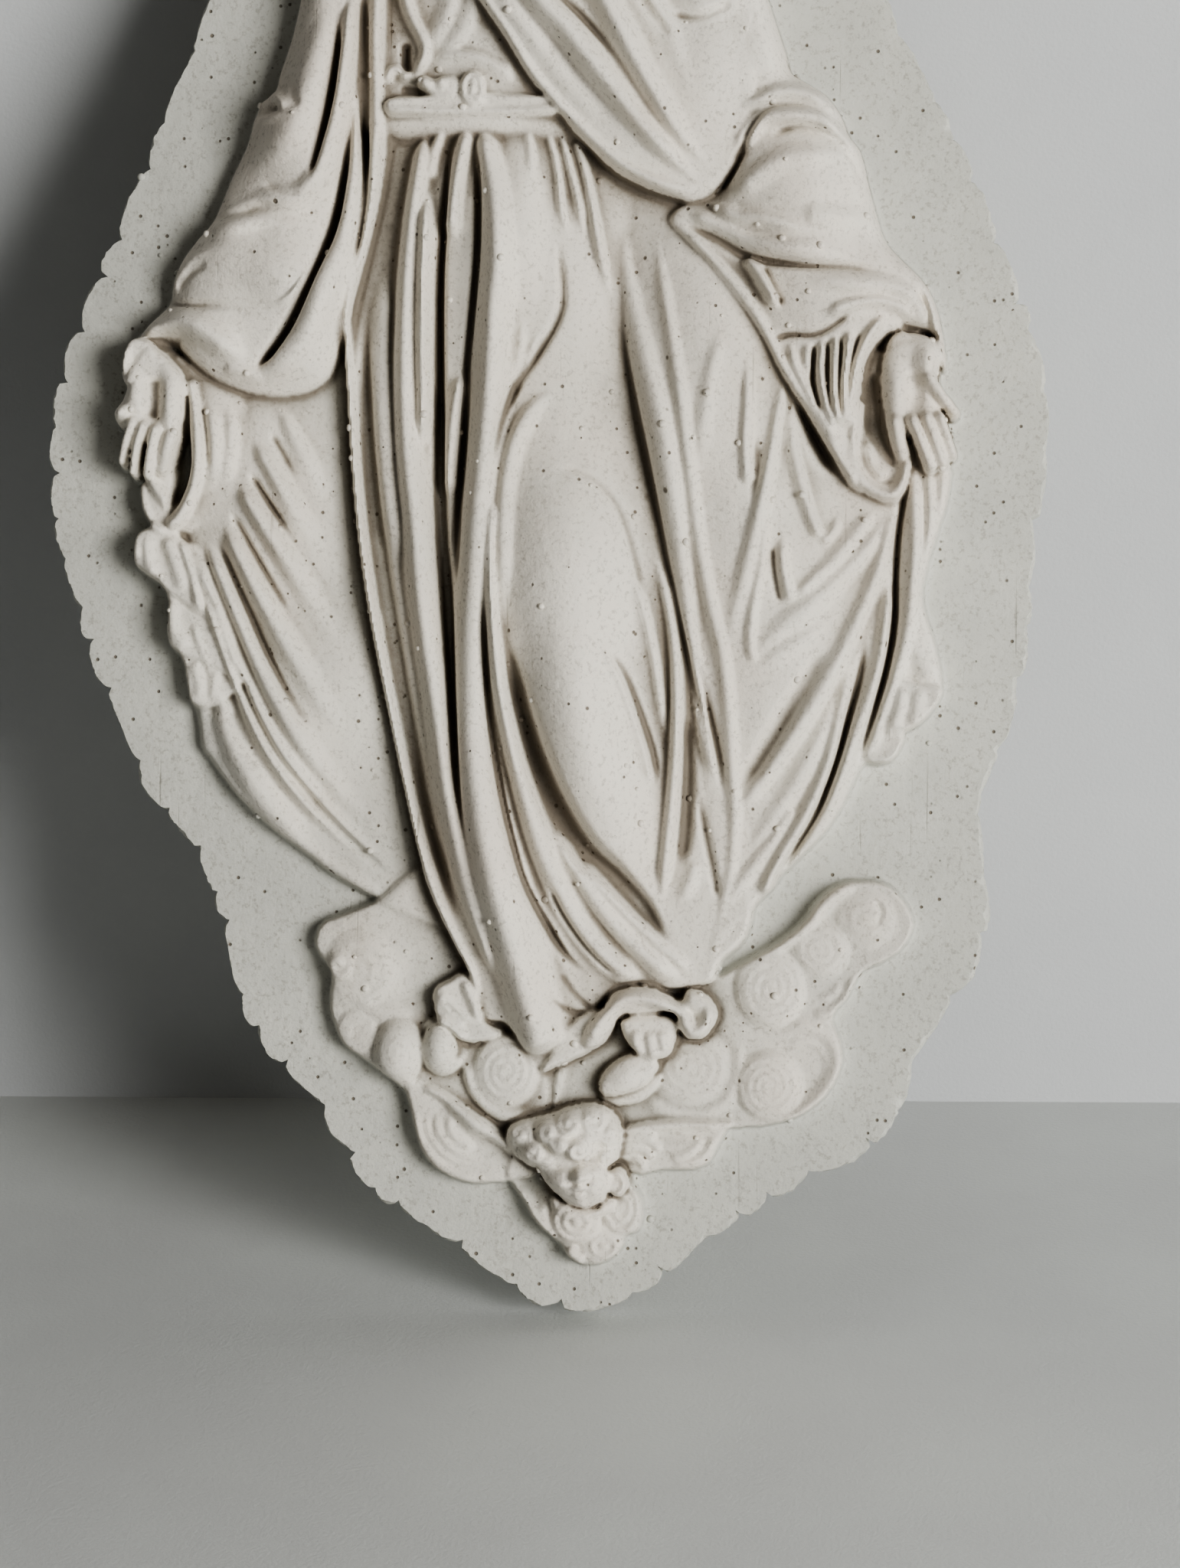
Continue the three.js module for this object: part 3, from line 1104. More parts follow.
// The hand at the viewer's left, in its open cuff, palm out and fingers down
function leftHand(r) {
  // the inner sleeve hangs open under the hand
  r.layer(
    [
      [-110.3, 19.5], [-112.5, 14], [-108, 8], [-107, -12], [-108.6, -17.5], [-108, -24],
      [-105, -29], [-100.5, -31.2], [-95, -30.2], [-90, -27.2], [-86.5, -23], [-83, -17],
      [-80.5, -9], [-79.5, -1], [-80.5, 6], [-86, 9], [-91, 12], [-97, 17], [-103, 21]
    ],
    8.2, 0.35, 4,
    {
      least: 0.3,
      mounds: [[-88, -6, 10, 20, 3]],
      folds: [
        [
          [[-109, -16], [-107.9, -23], [-104.6, -28.6], [-100.4, -30.4]], 1.4, 2.2, 0.4, 0,
          [0.1, 0.1]
        ],
        [
          [[-94.4, 11], [-92.6, 0], [-92, -10], [-93.6, -19], [-97, -26], [-101, -29.6]],
          [1.3, 1.7, 1.5], 3, 0.3, 0, [0.05, 0.05]
        ],
        [[[-90, 6], [-87.6, -3], [-87.4, -12], [-90, -20]], [1.2, 2.4], 1.4, 0.5, 0, [0.3, 0.3]],
        [[[-84.5, 4], [-82.6, -4], [-83.2, -12], [-86, -20]], [1.4, 2.4], 1.6, 0.5, 0, [0.3, 0.3]],
        [[[-105.5, -15], [-102, -20.6], [-98.4, -24.5]], 1.5, 1.6, 0.4]
      ],
      grooves: [
        [
          [[-97.2, 4], [-96.2, -8], [-97, -16], [-99, -22], [-101, -26.4]], [1.4, 3.2, 1.6],
          [2.4, 5.5, 2.5], 0.6
        ],
        [[[-91.4, 4], [-89.8, -5], [-89, -14]], 0.9, 0.9, 0.4]
      ]
    }
  );
  r.layer(
    [[-110.8, 20.5], [-112.8, 12], [-111, 8.5], [-106, 12], [-103, 18], [-106, 21]], 11.5, 0.5, 1.2,
    { folds: [[[[-110.5, 19], [-111.5, 12]], 1, 0.8]] }
  );
  // palm
  r.layer(
    [
      [-103, 18.3], [-98.6, 14.8], [-95.4, 10], [-95.3, 2], [-96.4, -5.6], [-98.8, -8.6],
      [-103, -8], [-108.4, -5], [-110.3, -3], [-114, -2], [-115, 1.4], [-113, 5], [-111.7, 8],
      [-109.5, 13], [-106.5, 17.5]
    ],
    12.2, 0.45, 4,
    {
      mounds: [[-98.8, 3, 5, 14, 2], [-108.5, 7, 4.5, 9, 1.8, 15], [-112.5, 1.4, 3.4, 3.4, 2.4]],
      grooves: [
        [[[-103.5, 11], [-103.2, 4], [-104.5, -1]], 3.6, 1.8, 1],
        [[[-106, -1.6], [-102.5, -2.8], [-98, -4.6]], 1, 0.5, 0.5]
      ]
    }
  );
  r.rods(
    11.6,
    [
      [[[-108.9, -1.2], [-110.8, -6], [-112.4, -11.4]], 1.6, 2.4],
      [[[-106.1, -2.4], [-108, -8], [-109.4, -14.2]], 1.6, 3],
      [[[-102.7, -3.4], [-104.2, -8.6], [-105.6, -14.6]], 1.75, 3.2],
      [[[-98.8, -5.2], [-100.2, -9], [-101.8, -13]], 2.3, 2.9]
    ]
  );
}

// The sleeve at the viewer's right
function rightArm(r) {
  r.layer(
    [
      [40, 152], [48, 142], [54, 126], [58.6, 112], [63.6, 97], [65.4, 91], [70, 88], [75, 84.4],
      [78.8, 78.8], [80.6, 74], [83.6, 70], [85.6, 62], [88, 53], [90.6, 46], [95, 41],
      [100.4, 35.4], [103.6, 29], [105.6, 20], [106.4, 12], [104.4, 14], [102.6, 21], [97, 22.5],
      [91, 21.5], [86.4, 16.4], [84, 9], [83, -2], [82, -8], [83, -15], [84.4, -20], [81, -18.6],
      [77.4, -12.8], [73.6, -6.6], [69.6, 0], [65.4, 6.6], [61.6, 13], [58.4, 19.6], [54.4, 26],
      [49.6, 32], [44, 39.6], [38, 46], [33.4, 51.6], [38, 56.6], [46, 58.6], [47, 64], [51, 74],
      [52, 90], [48, 110], [40, 130], [34, 150]
    ],
    12.6, 0.35, 6,
    {
      least: 0.3,
      mounds: [
        [50, 115, 18, 42, 3.4], [66, 62, 26, 30, 6], [74, 34, 26, 22, 4, -20], [56, 92, 14, 14, 2]
      ],
      folds: [
        [
          [[48, 79.6], [55, 81], [62, 83.6], [69, 83.6], [75, 80.6], [79, 75.6]], [1.4, 2.2, 1.8],
          2.4, 0.45
        ],
        [
          [[50.4, 66], [53.6, 72.4], [58.4, 77], [66, 77.4], [73.4, 76], [79.6, 71.6], [83, 66]],
          [1.6, 2.2, 1.8], [3.4, 3, 1.8], 0.4
        ],
        [
          [[49.6, 56.6], [56, 61.6], [63, 65.6], [70, 66.4], [77, 67], [82, 64.6]], [2.2, 2.6, 2],
          [2, 1.2, 0.8], 0.5, 0, [0.15, 0.4]
        ],
        [
          [[44, 56], [50, 51.6], [57, 50.6], [65, 48.4], [73, 46.6]], [2.2, 2, 1.6],
          [2.4, 2.2, 0.8], 0.4, 0, [0.2, 0.4]
        ],
        [
          [[38, 53.4], [46, 49.6], [54, 45.4], [62, 43.4], [72, 42.4], [82, 42]], [1.6, 2.2, 2.4],
          [1.8, 1.8, 1], 0.5, 0, [0.1, 0.4]
        ],
        [[[68, 52], [76, 51], [84, 50.6], [89, 50]], 2.4, 0.9, 0.6],
        [
          [
            [34, 50.6], [42, 43], [49.6, 34.6], [54.6, 27.6], [58.6, 20.6], [62, 13.6], [66, 7],
            [70, 0.6], [74, -6], [78, -12.6], [83, -19.6]
          ],
          [1.6, 1.8, 1.3, 1.3], [2.2, 2.6, 2.2, 2.2], 0.4, 0, [0.1, 0.05]
        ],
        [
          [[52.4, 41.4], [55.4, 38.4], [58.6, 33.4], [61.6, 27.6]], [1.2, 1.9, 1.3], 2.8, 0.35, 0.15
        ],
        [
          [[66, 35.6], [74, 34.4], [82, 33.6], [90, 33.4], [96, 31], [99.6, 26.4]], [1.4, 2.2, 1.8],
          [0.6, 1.6, 1.6], 0.5, 0, [0.4, 0.2]
        ],
        [[[74, 25.4], [80, 28], [87, 29.4], [93.4, 28], [97.6, 24]], 1.4, 1.6, 0.4],
        [[[92, 41], [97.6, 36.6], [101.6, 30.6], [104, 23]], 1.4, 1.6, 0.4, 0, [0.2, 0.1]],
        [[[69.6, 18.6], [69.4, 14], [70, 9.6]], 1, 1.4, 0.4, 0, [0.2, 0.4]],
        [[[64.6, 19.6], [66.6, 12], [70.4, 4.4], [74, -2.4], [78.6, -10]], 1, 1.6, 0.4],
        [[[73.4, 20], [73, 11], [74.4, 3], [77, -5]], 0.9, 2, 0.35],
        [[[76.8, 21], [76.6, 12], [76.6, 4], [78.4, -4]], 0.9, 2.8, 0.35],
        [[[80.6, 22.4], [79.8, 14], [79, 6], [79.4, -4]], 1, 2.8, 0.35],
        [[[90.6, 26.4], [85.6, 20], [82.4, 12], [81, 4], [80.8, -5]], 1.2, 2.8, 0.35],
        [
          [[94, 23], [88.6, 19], [85.4, 13], [83.6, 6], [82.8, -1], [82, -8]], 1.3, 3, 0.35, 0,
          [0.05, 0.05]
        ],
        [[[54, 106], [50.4, 118], [45, 134]], 3, 1.6, 0.6]
      ],
      grooves: [
        [
          [[46, 59.4], [49.4, 63.6], [52, 68.6], [54.4, 74], [58.4, 78.6], [63, 80.4]],
          [1.8, 1.6, 1], [5, 3.4, 1.2], 0.4, 0, [0.05, 0.3]
        ],
        [
          [[59, 71.4], [65.4, 74.4], [72, 73.8], [78, 70.6], [82, 64.6], [84, 58]], [1.3, 1.3], 1.2,
          0.5
        ],
        [
          [[36, 50.4], [45, 46.4], [53, 41.6], [60, 39.8], [70, 38.4], [80, 38.2], [91, 37]],
          [1.1, 1.6, 1.4], [1.4, 2.4, 1], 0.4
        ],
        [[[57.6, 39.4], [60.4, 34], [63, 28]], 1, 2.2, 0.4],
        [[[60, 19.6], [65, 21], [71, 20.8], [76.6, 23.4], [81, 27]], [1.2, 1.4, 1], 1.8, 0.5],
        [[[71.4, 19], [71, 9], [73, 0]], 0.8, 2.4, 0.4],
        [[[75, 20], [74.8, 9], [76, 0]], 0.6, 1.6, 0.4],
        [[[78.6, 21], [78, 9], [78.4, -2]], 0.6, 1.8, 0.4],
        [[[84, 22.6], [81, 14], [80, 4]], 0.7, 1.4, 0.4],
        [[[98.6, 33], [100.6, 28], [101.8, 22]], 1, 1.8, 0.4]
      ]
    }
  );
}

// The hand at the viewer's right, in its open cuff, palm out and fingers down
function rightHand(r) {
  r.layer(
    [
      [84, 9], [82.6, 0], [80.4, -6.6], [79.8, -12.6], [82.6, -18.6], [87, -21.6], [91.6, -22.8],
      [94.8, -20.7], [96.6, -14], [97.2, -8], [94, 2], [92, 14], [88, 17.5], [85.4, 14]
    ],
    9.2, 0.5, 1.8,
    {
      least: 0.3,
      folds: [
        [
          [
            [83.4, 4], [81.6, -6], [81.8, -13.4], [85, -18.6], [90.6, -21.2], [94.6, -18.6],
            [96.6, -11]
          ],
          [1.5, 2.3, 1.6], [3, 3.4, 2.4], 0.4, 0, [0.02, 0.05]
        ],
        [[[85, -7], [86.8, -13.2], [90.4, -17.4]], 1.3, 1.4, 0.4]
      ],
      grooves: [
        [
          [[86.8, 12], [86, 4], [87, -4], [90.2, -10.4], [93, -14.4]], [1.5, 3, 1.6], [3.5, 6.5, 2],
          0.6, 0.2
        ]
      ]
    }
  );
  r.layer(
    [
      [91.4, 21], [89.6, 15.4], [88.9, 9], [89.9, 1.4], [91, -4], [95, -5.4], [100, -4.5],
      [105.6, -4], [105.2, 0], [103.8, 7], [104.8, 14.5], [104, 19], [101.2, 21.5], [96, 22.5]
    ],
    12.6, 0.4, 4.4,
    {
      mounds: [[101, 13, 5, 9, 1.6], [92.5, 6, 4, 10, 1.2]],
      grooves: [
        [[[97.5, 12], [98, 5], [97.5, 0]], 3.2, 1, 1],
        [[[91, 18.5], [97, 20], [103, 17.5]], 1.2, 0.5, 0.6]
      ]
    }
  );
  r.rods(
    12.2,
    [
      [[[101.2, 9.5], [104.4, 5], [107.8, 0.9]], 1.9, 2.4],
      [[[104.2, -1], [106, -6], [107.4, -10.2]], 1.7, 2.4],
      [[[100.6, -1], [102.9, -7], [105, -12.8]], 1.75, 3.1],
      [[[97, -1.8], [99.6, -8], [102, -13.6]], 1.75, 3.2],
      [[[92.6, -2.2], [93.4, -6], [94.4, -9.6]], 2.1, 2.9]
    ]
  );
}

// The turned hem, the tip of the dress, the foot and the cloud's leaf-shaped end
function hem(r) {
  // small flap left of the front tip, its underside in shade
  r.layer(
    [
      [-29.8, -152.5], [-26, -149.5], [-21, -147.5], [-18, -153], [-16, -160], [-11.5, -163.5],
      [-16, -165.5], [-21.5, -165.8], [-25.5, -162], [-28.8, -159.8]
    ],
    9, 0.7, 1.6,
    {
      folds: [
        [[[-28.5, -152.5], [-24.5, -157], [-20, -161.5]], 1.3, 1.2, 0.3],
        [[[-21.5, -149], [-19, -154.5], [-17, -159.8]], 1.3, 1.4, 0.3],
        [[[-28.5, -159], [-24, -162.5], [-21, -165.5]], 1.4, 1.4, 0.3]
      ],
      grooves: [[[[-27, -154.5], [-23, -158.8], [-19.6, -162]], 0.9, 1, 0.3]]
    }
  );
  // the foot at the viewer's left, a smooth ball in a ring of cloud
  r.layer(
    [
      [-34, -165.5], [-32.4, -161], [-29, -159.4], [-25, -161], [-21.6, -165], [-21, -170],
      [-24, -174], [-28.5, -175], [-32.6, -172]
    ],
    6.8, 0.4, 1.4,
    {
      folds: [
        [[[-33, -165], [-32.6, -170], [-29, -174], [-24.6, -173], [-22, -169]], 0.9, 1.2, 0.4]
      ]
    }
  );
  r.ball(-28, -167, 4.8, 6.4, 4.6);
  // cloth between the dress's tip and the rolled hem
  r.layer(
    [
      [-1, -173.6], [3, -167], [7, -161], [12, -157.6], [18, -157], [19, -160.6], [16.4, -165.6],
      [12, -168.6], [6, -171.4]
    ],
    9.4, 0.5, 2.4, { least: 0.3 }
  );
  // the hem rolled over the foot at the viewer's right
  r.layer(
    [
      [10.5, -166.5], [11.4, -162], [15, -157.4], [18.4, -152.6], [24, -150.8], [30, -151.6],
      [36, -154.6], [38, -151.6], [42, -152.4], [45.6, -156.4], [45.4, -160.6], [42, -164.6],
      [38, -164.6], [35.4, -161.6], [34, -158], [24.5, -158.3], [20.6, -159], [17, -163.4],
      [14, -167]
    ],
    11.4, 0.45, 3,
    {
      least: 0.4,
      folds: [
        [
          [
            [12, -165], [14.6, -160], [18.4, -155.6], [23, -153.2], [29, -153.8], [34, -156.4],
            [37, -160], [39.4, -162.8], [42.4, -161.8], [44, -158.4], [42.6, -154.8]
          ],
          [1.6, 1.9, 1.8, 1.5], [1.4, 2, 2, 1.8], 0.5, 0, [0.05, 0.08]
        ]
      ],
      grooves: [
        [[[24, -156.6], [30, -156.6], [34, -158.4]], 0.9, 0.8, 0.4],
        [[[37.6, -156.6], [40.4, -158.4], [40, -160.4]], 0.9, 1, 0.5]
      ]
    }
  );
  // foot with its toes on the leaf-shaped end of the cloud
  r.layer(
    [
      [20, -160.4], [23.5, -158.4], [30, -158.2], [34.6, -159.4], [35.4, -163], [33.4, -168.6],
      [30, -170.4], [26, -169.8], [22, -166]
    ],
    10.4, 0.6, 2.2,
    {
      folds: [
        [[[24.6, -162], [24.4, -166], [26, -169]], 1.3, 1.2, 0.3],
        [[[28, -162.6], [28.2, -166], [29.6, -169.6]], 1.3, 1.3, 0.3],
        [[[31, -162.4], [31.4, -165.4], [32.4, -168]], 1.2, 1.1, 0.3]
      ]
    }
  );
  r.layer(
    [
      [14.6, -179.3], [14.8, -175.5], [18, -171.5], [22.6, -169], [28, -169.6], [30.4, -171.5],
      [27.4, -176.5], [22.4, -179], [17, -180.2]
    ],
    9.4, 0.7, 1.8, { mounds: [[21.6, -174.4, 8, 5, 1.4, 35]] }
  );
  r.layer(
    [[14, -180.6], [20, -179.4], [26, -176.8], [31, -174], [30, -178], [25, -182], [18, -183]], 7.2,
    0.5, 2.5
  );
}

// The cherub's curly head, its face turned down
function cherub(r) {
  const hair = [
    [-10, -192.6], [-9.6, -188.6], [-5.6, -186.4], [1, -184.6], [6, -183], [12, -181.8],
    [17.4, -183.4], [20.4, -188], [20.4, -193], [18.6, -198], [14, -199.8], [4, -199.8],
    [-2, -199.6], [-6, -197.4]
  ];
  r.layer(
    hair, 10.4, 0.55, 3.6,
    {
      mounds: [[6, -193, 15, 11, 5]],
      folds: [
        [[[1.4, -198.6], [4, -199.4], [7.4, -199.2], [10, -197.6]], 1.2, 0.8, 0.4, 0, [0.1, 0.4]]
      ],
      swirls: [
        [-6.2, -189.6, 3.8, 3.4, 2.6, 1.3, 0.2, -1, 0.4],
        [-3, -194.4, 3.2, 3.4, 2.8, 1.4, 0.1, 1, 0.45],
        [1.4, -188.6, 3.6, 3.6, 2.8, 1.4, 0.4, 1, 0.4], [7, -186.4, 4, 3.8, 3, 1.5, 0.7, -1, 0.4],
        [13, -185.8, 4.2, 3.8, 2.6, 1.5, 0.2, 1, 0.4],
        [17.4, -189.6, 3.2, 3.6, 2.4, 1.3, 0.6, -1, 0.4],
        [4.4, -191.6, 3.2, 3, 2.4, 1.3, 0.5, -1, 0.4],
        [9.6, -193.4, 3.6, 3.4, 2.8, 1.4, 0.3, 1, 0.45],
        [12.6, -189.6, 3.4, 3, 2, 1.3, 0.8, 1, 0.35], [0.4, -197.2, 2.8, 2, 1.8, 1.2, 0.2, 1, 0.4],
        [17, -196, 2.8, 3.2, 1.8, 1.3, 0.2, 1, 0.4]
      ]
    }
  );
  // the face, turned down and a little to the right: brow, eyes, nose, lips and chin
  r.layer(
    [
      [-1.8, -198.6], [3, -197.4], [9, -196.8], [14.6, -197.4], [17.4, -199.6], [17.6, -204],
      [15.6, -208], [11.4, -209.6], [6.6, -208.6], [3, -206], [-0.4, -202.6]
    ],
    12, 0.5, 3.4,
    {
      mounds: [[9.4, -201, 10, 9, 3.6], [13.8, -204, 3.6, 3.4, 1]],
      folds: [
        [[[-0.6, -200.2], [2.6, -199.4], [6.4, -200]], 0.9, 1.2, 0.4, 0, [0.2, 0.1]],
        [[[12.6, -199.6], [14.6, -199.2], [16.6, -200]], 0.8, 0.9, 0.4, 0, [0.2, 0.2]],
        [[[0.6, -201.6], [3.4, -201.8], [6.2, -202.9]], 1.5, 1.4, 0.5, 0, [0.15, 0.15]],
        [[[12.6, -201.8], [14.4, -201.8], [16, -202.4]], 1, 0.9, 0.5, 0, [0.2, 0.2]],
        [[[8.8, -197.8], [9.8, -199.6], [10.4, -201.4]], [1.2, 2], [1, 3.2], 0.45, 0, [0.3, 0.04]],
        [[[7.4, -203.8], [9.4, -203.4], [11.8, -203.8]], 0.8, 1.1, 0.4, 0, [0.2, 0.2]],
        [[[7.6, -205.4], [9.6, -205.8], [11.6, -205.3]], 0.9, 1.2, 0.4, 0, [0.2, 0.2]],
        [[[8.2, -208], [10, -208.4], [11.8, -207.9]], 1.4, 1, 0.6, 0, [0.2, 0.2]]
      ],
      grooves: [
        [[[0.2, -202.8], [3, -203.6], [6, -204.2]], 0.6, 0.7, 0.4],
        [[[7, -204.5], [9.6, -204.7], [12.2, -204.4]], 0.6, 1, 0.3],
        [[[7.8, -201.6], [8.2, -202.5], [8.9, -202.9]], 0.9, 1.3, 0.4]
      ]
    }
  );
  // rows of small feathers under the chin
  r.layer(
    [
      [2, -207], [5, -208.4], [8.6, -210], [13, -210], [17.6, -206.8], [19, -208.6], [16, -212],
      [10, -213.4], [5, -212.4], [2, -210]
    ],
    8.4, 0.6, 1.2,
    {
      folds: [
        [[[3.4, -208.6], [7.6, -211], [13, -211.2], [17.4, -208.6]], 0.9, 1.3, 0.4],
        [[[4, -210.6], [8, -212.6], [13.4, -212.6]], 0.8, 1, 0.4]
      ]
    }
  );
  // an ear-shaped curl beside the cheek
  r.layer(
    [
      [16.4, -200.4], [18.6, -198.8], [21, -199.8], [22.2, -202.6], [21.4, -205.6], [19, -206.8],
      [16.8, -205.2], [16, -202.6]
    ],
    10.6, 0.7, 1,
    {
      folds: [
        [
          [[17.4, -200.6], [20, -199.8], [21.4, -202.6], [20.2, -205.6], [17.8, -205.4]], 0.7, 0.8,
          0.4
        ],
        [[[18, -203], [19.2, -204]], 0.9, 0.7, 0.4]
      ]
    }
  );
}

// Her head under the veil, worked out from the head's middle line; everything that comes in
// pairs is made for the left side, -1, and the right side, 1
function head(r) {
  const cx = -12;
  const sides = [-1, 1];
  const mirrored = (points, side) => points.map(([dx, z]) => [cx + side * dx, z]);
  const round = (half) => [...mirrored(half, -1), ...mirrored([...half].reverse().slice(1, -1), 1)];
  // the veil's far side, behind the neck
  const veilBack = [[0, 192], [22, 186], [27, 172], [31, 150], [12, 146], [0, 146]];
  r.layer(round(veilBack), 11.6, 0.6, 4);
  const neck = [[0, 178.4], [8.5, 178], [9, 164], [11.5, 152], [0, 149]];
  const tendon = [[7, 174], [4.6, 163], [1.8, 154]];
  r.layer(round(neck), 14.2, 0.15, 8, {
    folds: sides.map((side) => [mirrored(tendon, side), 2, 0.7, 0.7])
  });
  // the veil falls from the crown over both shoulders
  const veil = [
    [0, 226.5], [12, 224], [21, 215], [25, 202], [26, 188], [29, 174], [35, 162], [41, 150],
    [26, 148], [18, 158], [12, 172], [0, 180]];
  const outerFold = [[3, 221], [15, 215], [20.5, 202], [21, 188], [23.5, 174], [29, 160], [34, 151]];
  const innerFold = [[2, 214], [11.5, 209.5], [16.5, 199], [17, 186], [19, 172], [22, 160], [25, 150]];
  r.layer(round(veil), 13.5, 0.5, 6, {
    mounds: [[cx, 203, 28, 34, 5]],
    folds: sides.flatMap((side) => [
      [mirrored(outerFold, side), [2, 3.2, 3], [1.2, 2.4, 1.6], 0.4],
      [mirrored(innerFold, side), [1.8, 2.2, 2.4], [1.4, 2.4, 1.6], 0.35, 0, [0.05, 0.15]]])
  });
  // hair parted in the middle
  const hairline = [[0, 213.5], [9, 210.5], [14.5, 202], [15, 192], [12.6, 185], [0, 184]];
  r.layer(round(hairline), 18, 0.5, 3);
  // a calm, even face
  const face = [
    [0, 209], [6, 207.2], [10.4, 201.5], [11.6, 194], [10.5, 186], [8, 179.6], [4.2, 175.4], [0, 174.3]];
  const nose = [[cx, 196], [cx, 190], [cx, 186.2]];
  const eye = [[2.4, 192.4], [4.9, 193.4], [7.6, 192.4]];
  const mouth = [[cx - 4, 182], [cx, 182.2], [cx + 4, 182]];
  const chin = [[cx - 2, 177.3], [cx + 2, 177.3]];
  r.layer(round(face), 19.5, 0.5, 5.5, {
    mounds: [[cx, 192, 14, 20, 4.6]],
    folds: [
      [nose, [1.2, 2.2], [1, 3.2], 0.45, 0, [0.35, 0.02]],
      ...sides.map((side) => [mirrored(eye, side), 1.6, 1.2, 0.4, 0, [0.25, 0.25]]),
      [mouth, 1.7, 1.2, 0.4, 0, [0.2, 0.2]],
      [chin, 3.2, 0.9, 0.8, 0, [0.3, 0.3]]]
  });
}

// The plate's outline as drawn, before the bites of the rim tool
const rimCourse = [
  [-9, 240], [12, 233], [30, 218], [46, 198], [60, 177], [72, 155], [82, 134], [90.5, 115], [97.5, 100],
  [107, 82], [115.5, 65], [124, 43], [131, 24], [134.5, 8], [135, -8], [133, -24], [131, -40],
  [130, -56], [128, -70], [124, -85], [118, -99], [117.5, -115], [119.5, -132], [115.5, -148],
  [107, -160], [100, -172], [95.5, -186], [85, -198], [69, -206], [55, -214], [41, -223], [28, -234],
  [12, -240.2], [-3, -238.5], [-17, -229], [-31, -219], [-47, -209], [-57, -196], [-65, -182],
  [-77, -170], [-84.5, -156], [-88, -140], [-92.5, -125], [-98, -113], [-109, -101], [-116, -83],
  [-124, -66], [-129, -48], [-134, -30], [-135.5, -12], [-134.5, 4], [-131, 19], [-123.5, 38],
  [-114, 60], [-105, 81], [-97.5, 98], [-91.5, 115], [-84, 134], [-75, 156], [-65, 177], [-53, 198],
  [-39, 218], [-25, 233],
];

// Repeatable pseudo-random numbers from 0 to 1
function dice(seed) {
  let state = seed;
  return () => {
    state = (state * 16807) % 2147483647;
    return state / 2147483647;
  };
}

// The plate's outline with the uneven bites round it, in real millimetres
function rimOutline(scaleX, scaleZ) {
  const course = spline(rimCourse, true).map(([x, z]) => [x * scaleX, z * scaleZ]);
  const lengths = [0];
  for (let k = 1; k < course.length; k += 1) {
    const [x, z] = course[k];
    lengths.push(lengths[k - 1] + Math.hypot(x - course[k - 1][0], z - course[k - 1][1]));
  }
  const total = lengths[lengths.length - 1];
  const bites = Math.round(total / rimBite);
  const roll = dice(7);
  const sizes = Array.from({ length: bites }, () => 0.5 + roll());
  const sum = sizes.reduce((a, b) => a + b, 0);
  const outline = [];
  let from = 0;
  let k = 1;
  sizes.forEach((size) => {
    const span = (size / sum) * total;
    const depth = rimBiteDepth * (0.3 + 1.1 * roll());
    const skew = 0.6 + 0.8 * roll();
    [0, 0.16, 0.4, 0.68].forEach((t) => {
      const at = from + t * span;
      while (lengths[k] < at && k < course.length - 1) k += 1;
      const u = (at - lengths[k - 1]) / (lengths[k] - lengths[k - 1]);
      const [ax, az] = course[k - 1];
      const [bx, bz] = course[k];
      const nx = (bz - az) / (lengths[k] - lengths[k - 1]);
      const nz = -(bx - ax) / (lengths[k] - lengths[k - 1]);
      const inset = depth * (1 - Math.sqrt(Math.sin(Math.PI * t ** skew)));
      outline.push([ax + u * (bx - ax) + nx * inset, az + u * (bz - az) + nz * inset]);
    });
    from += span;
  });
  return outline;
}

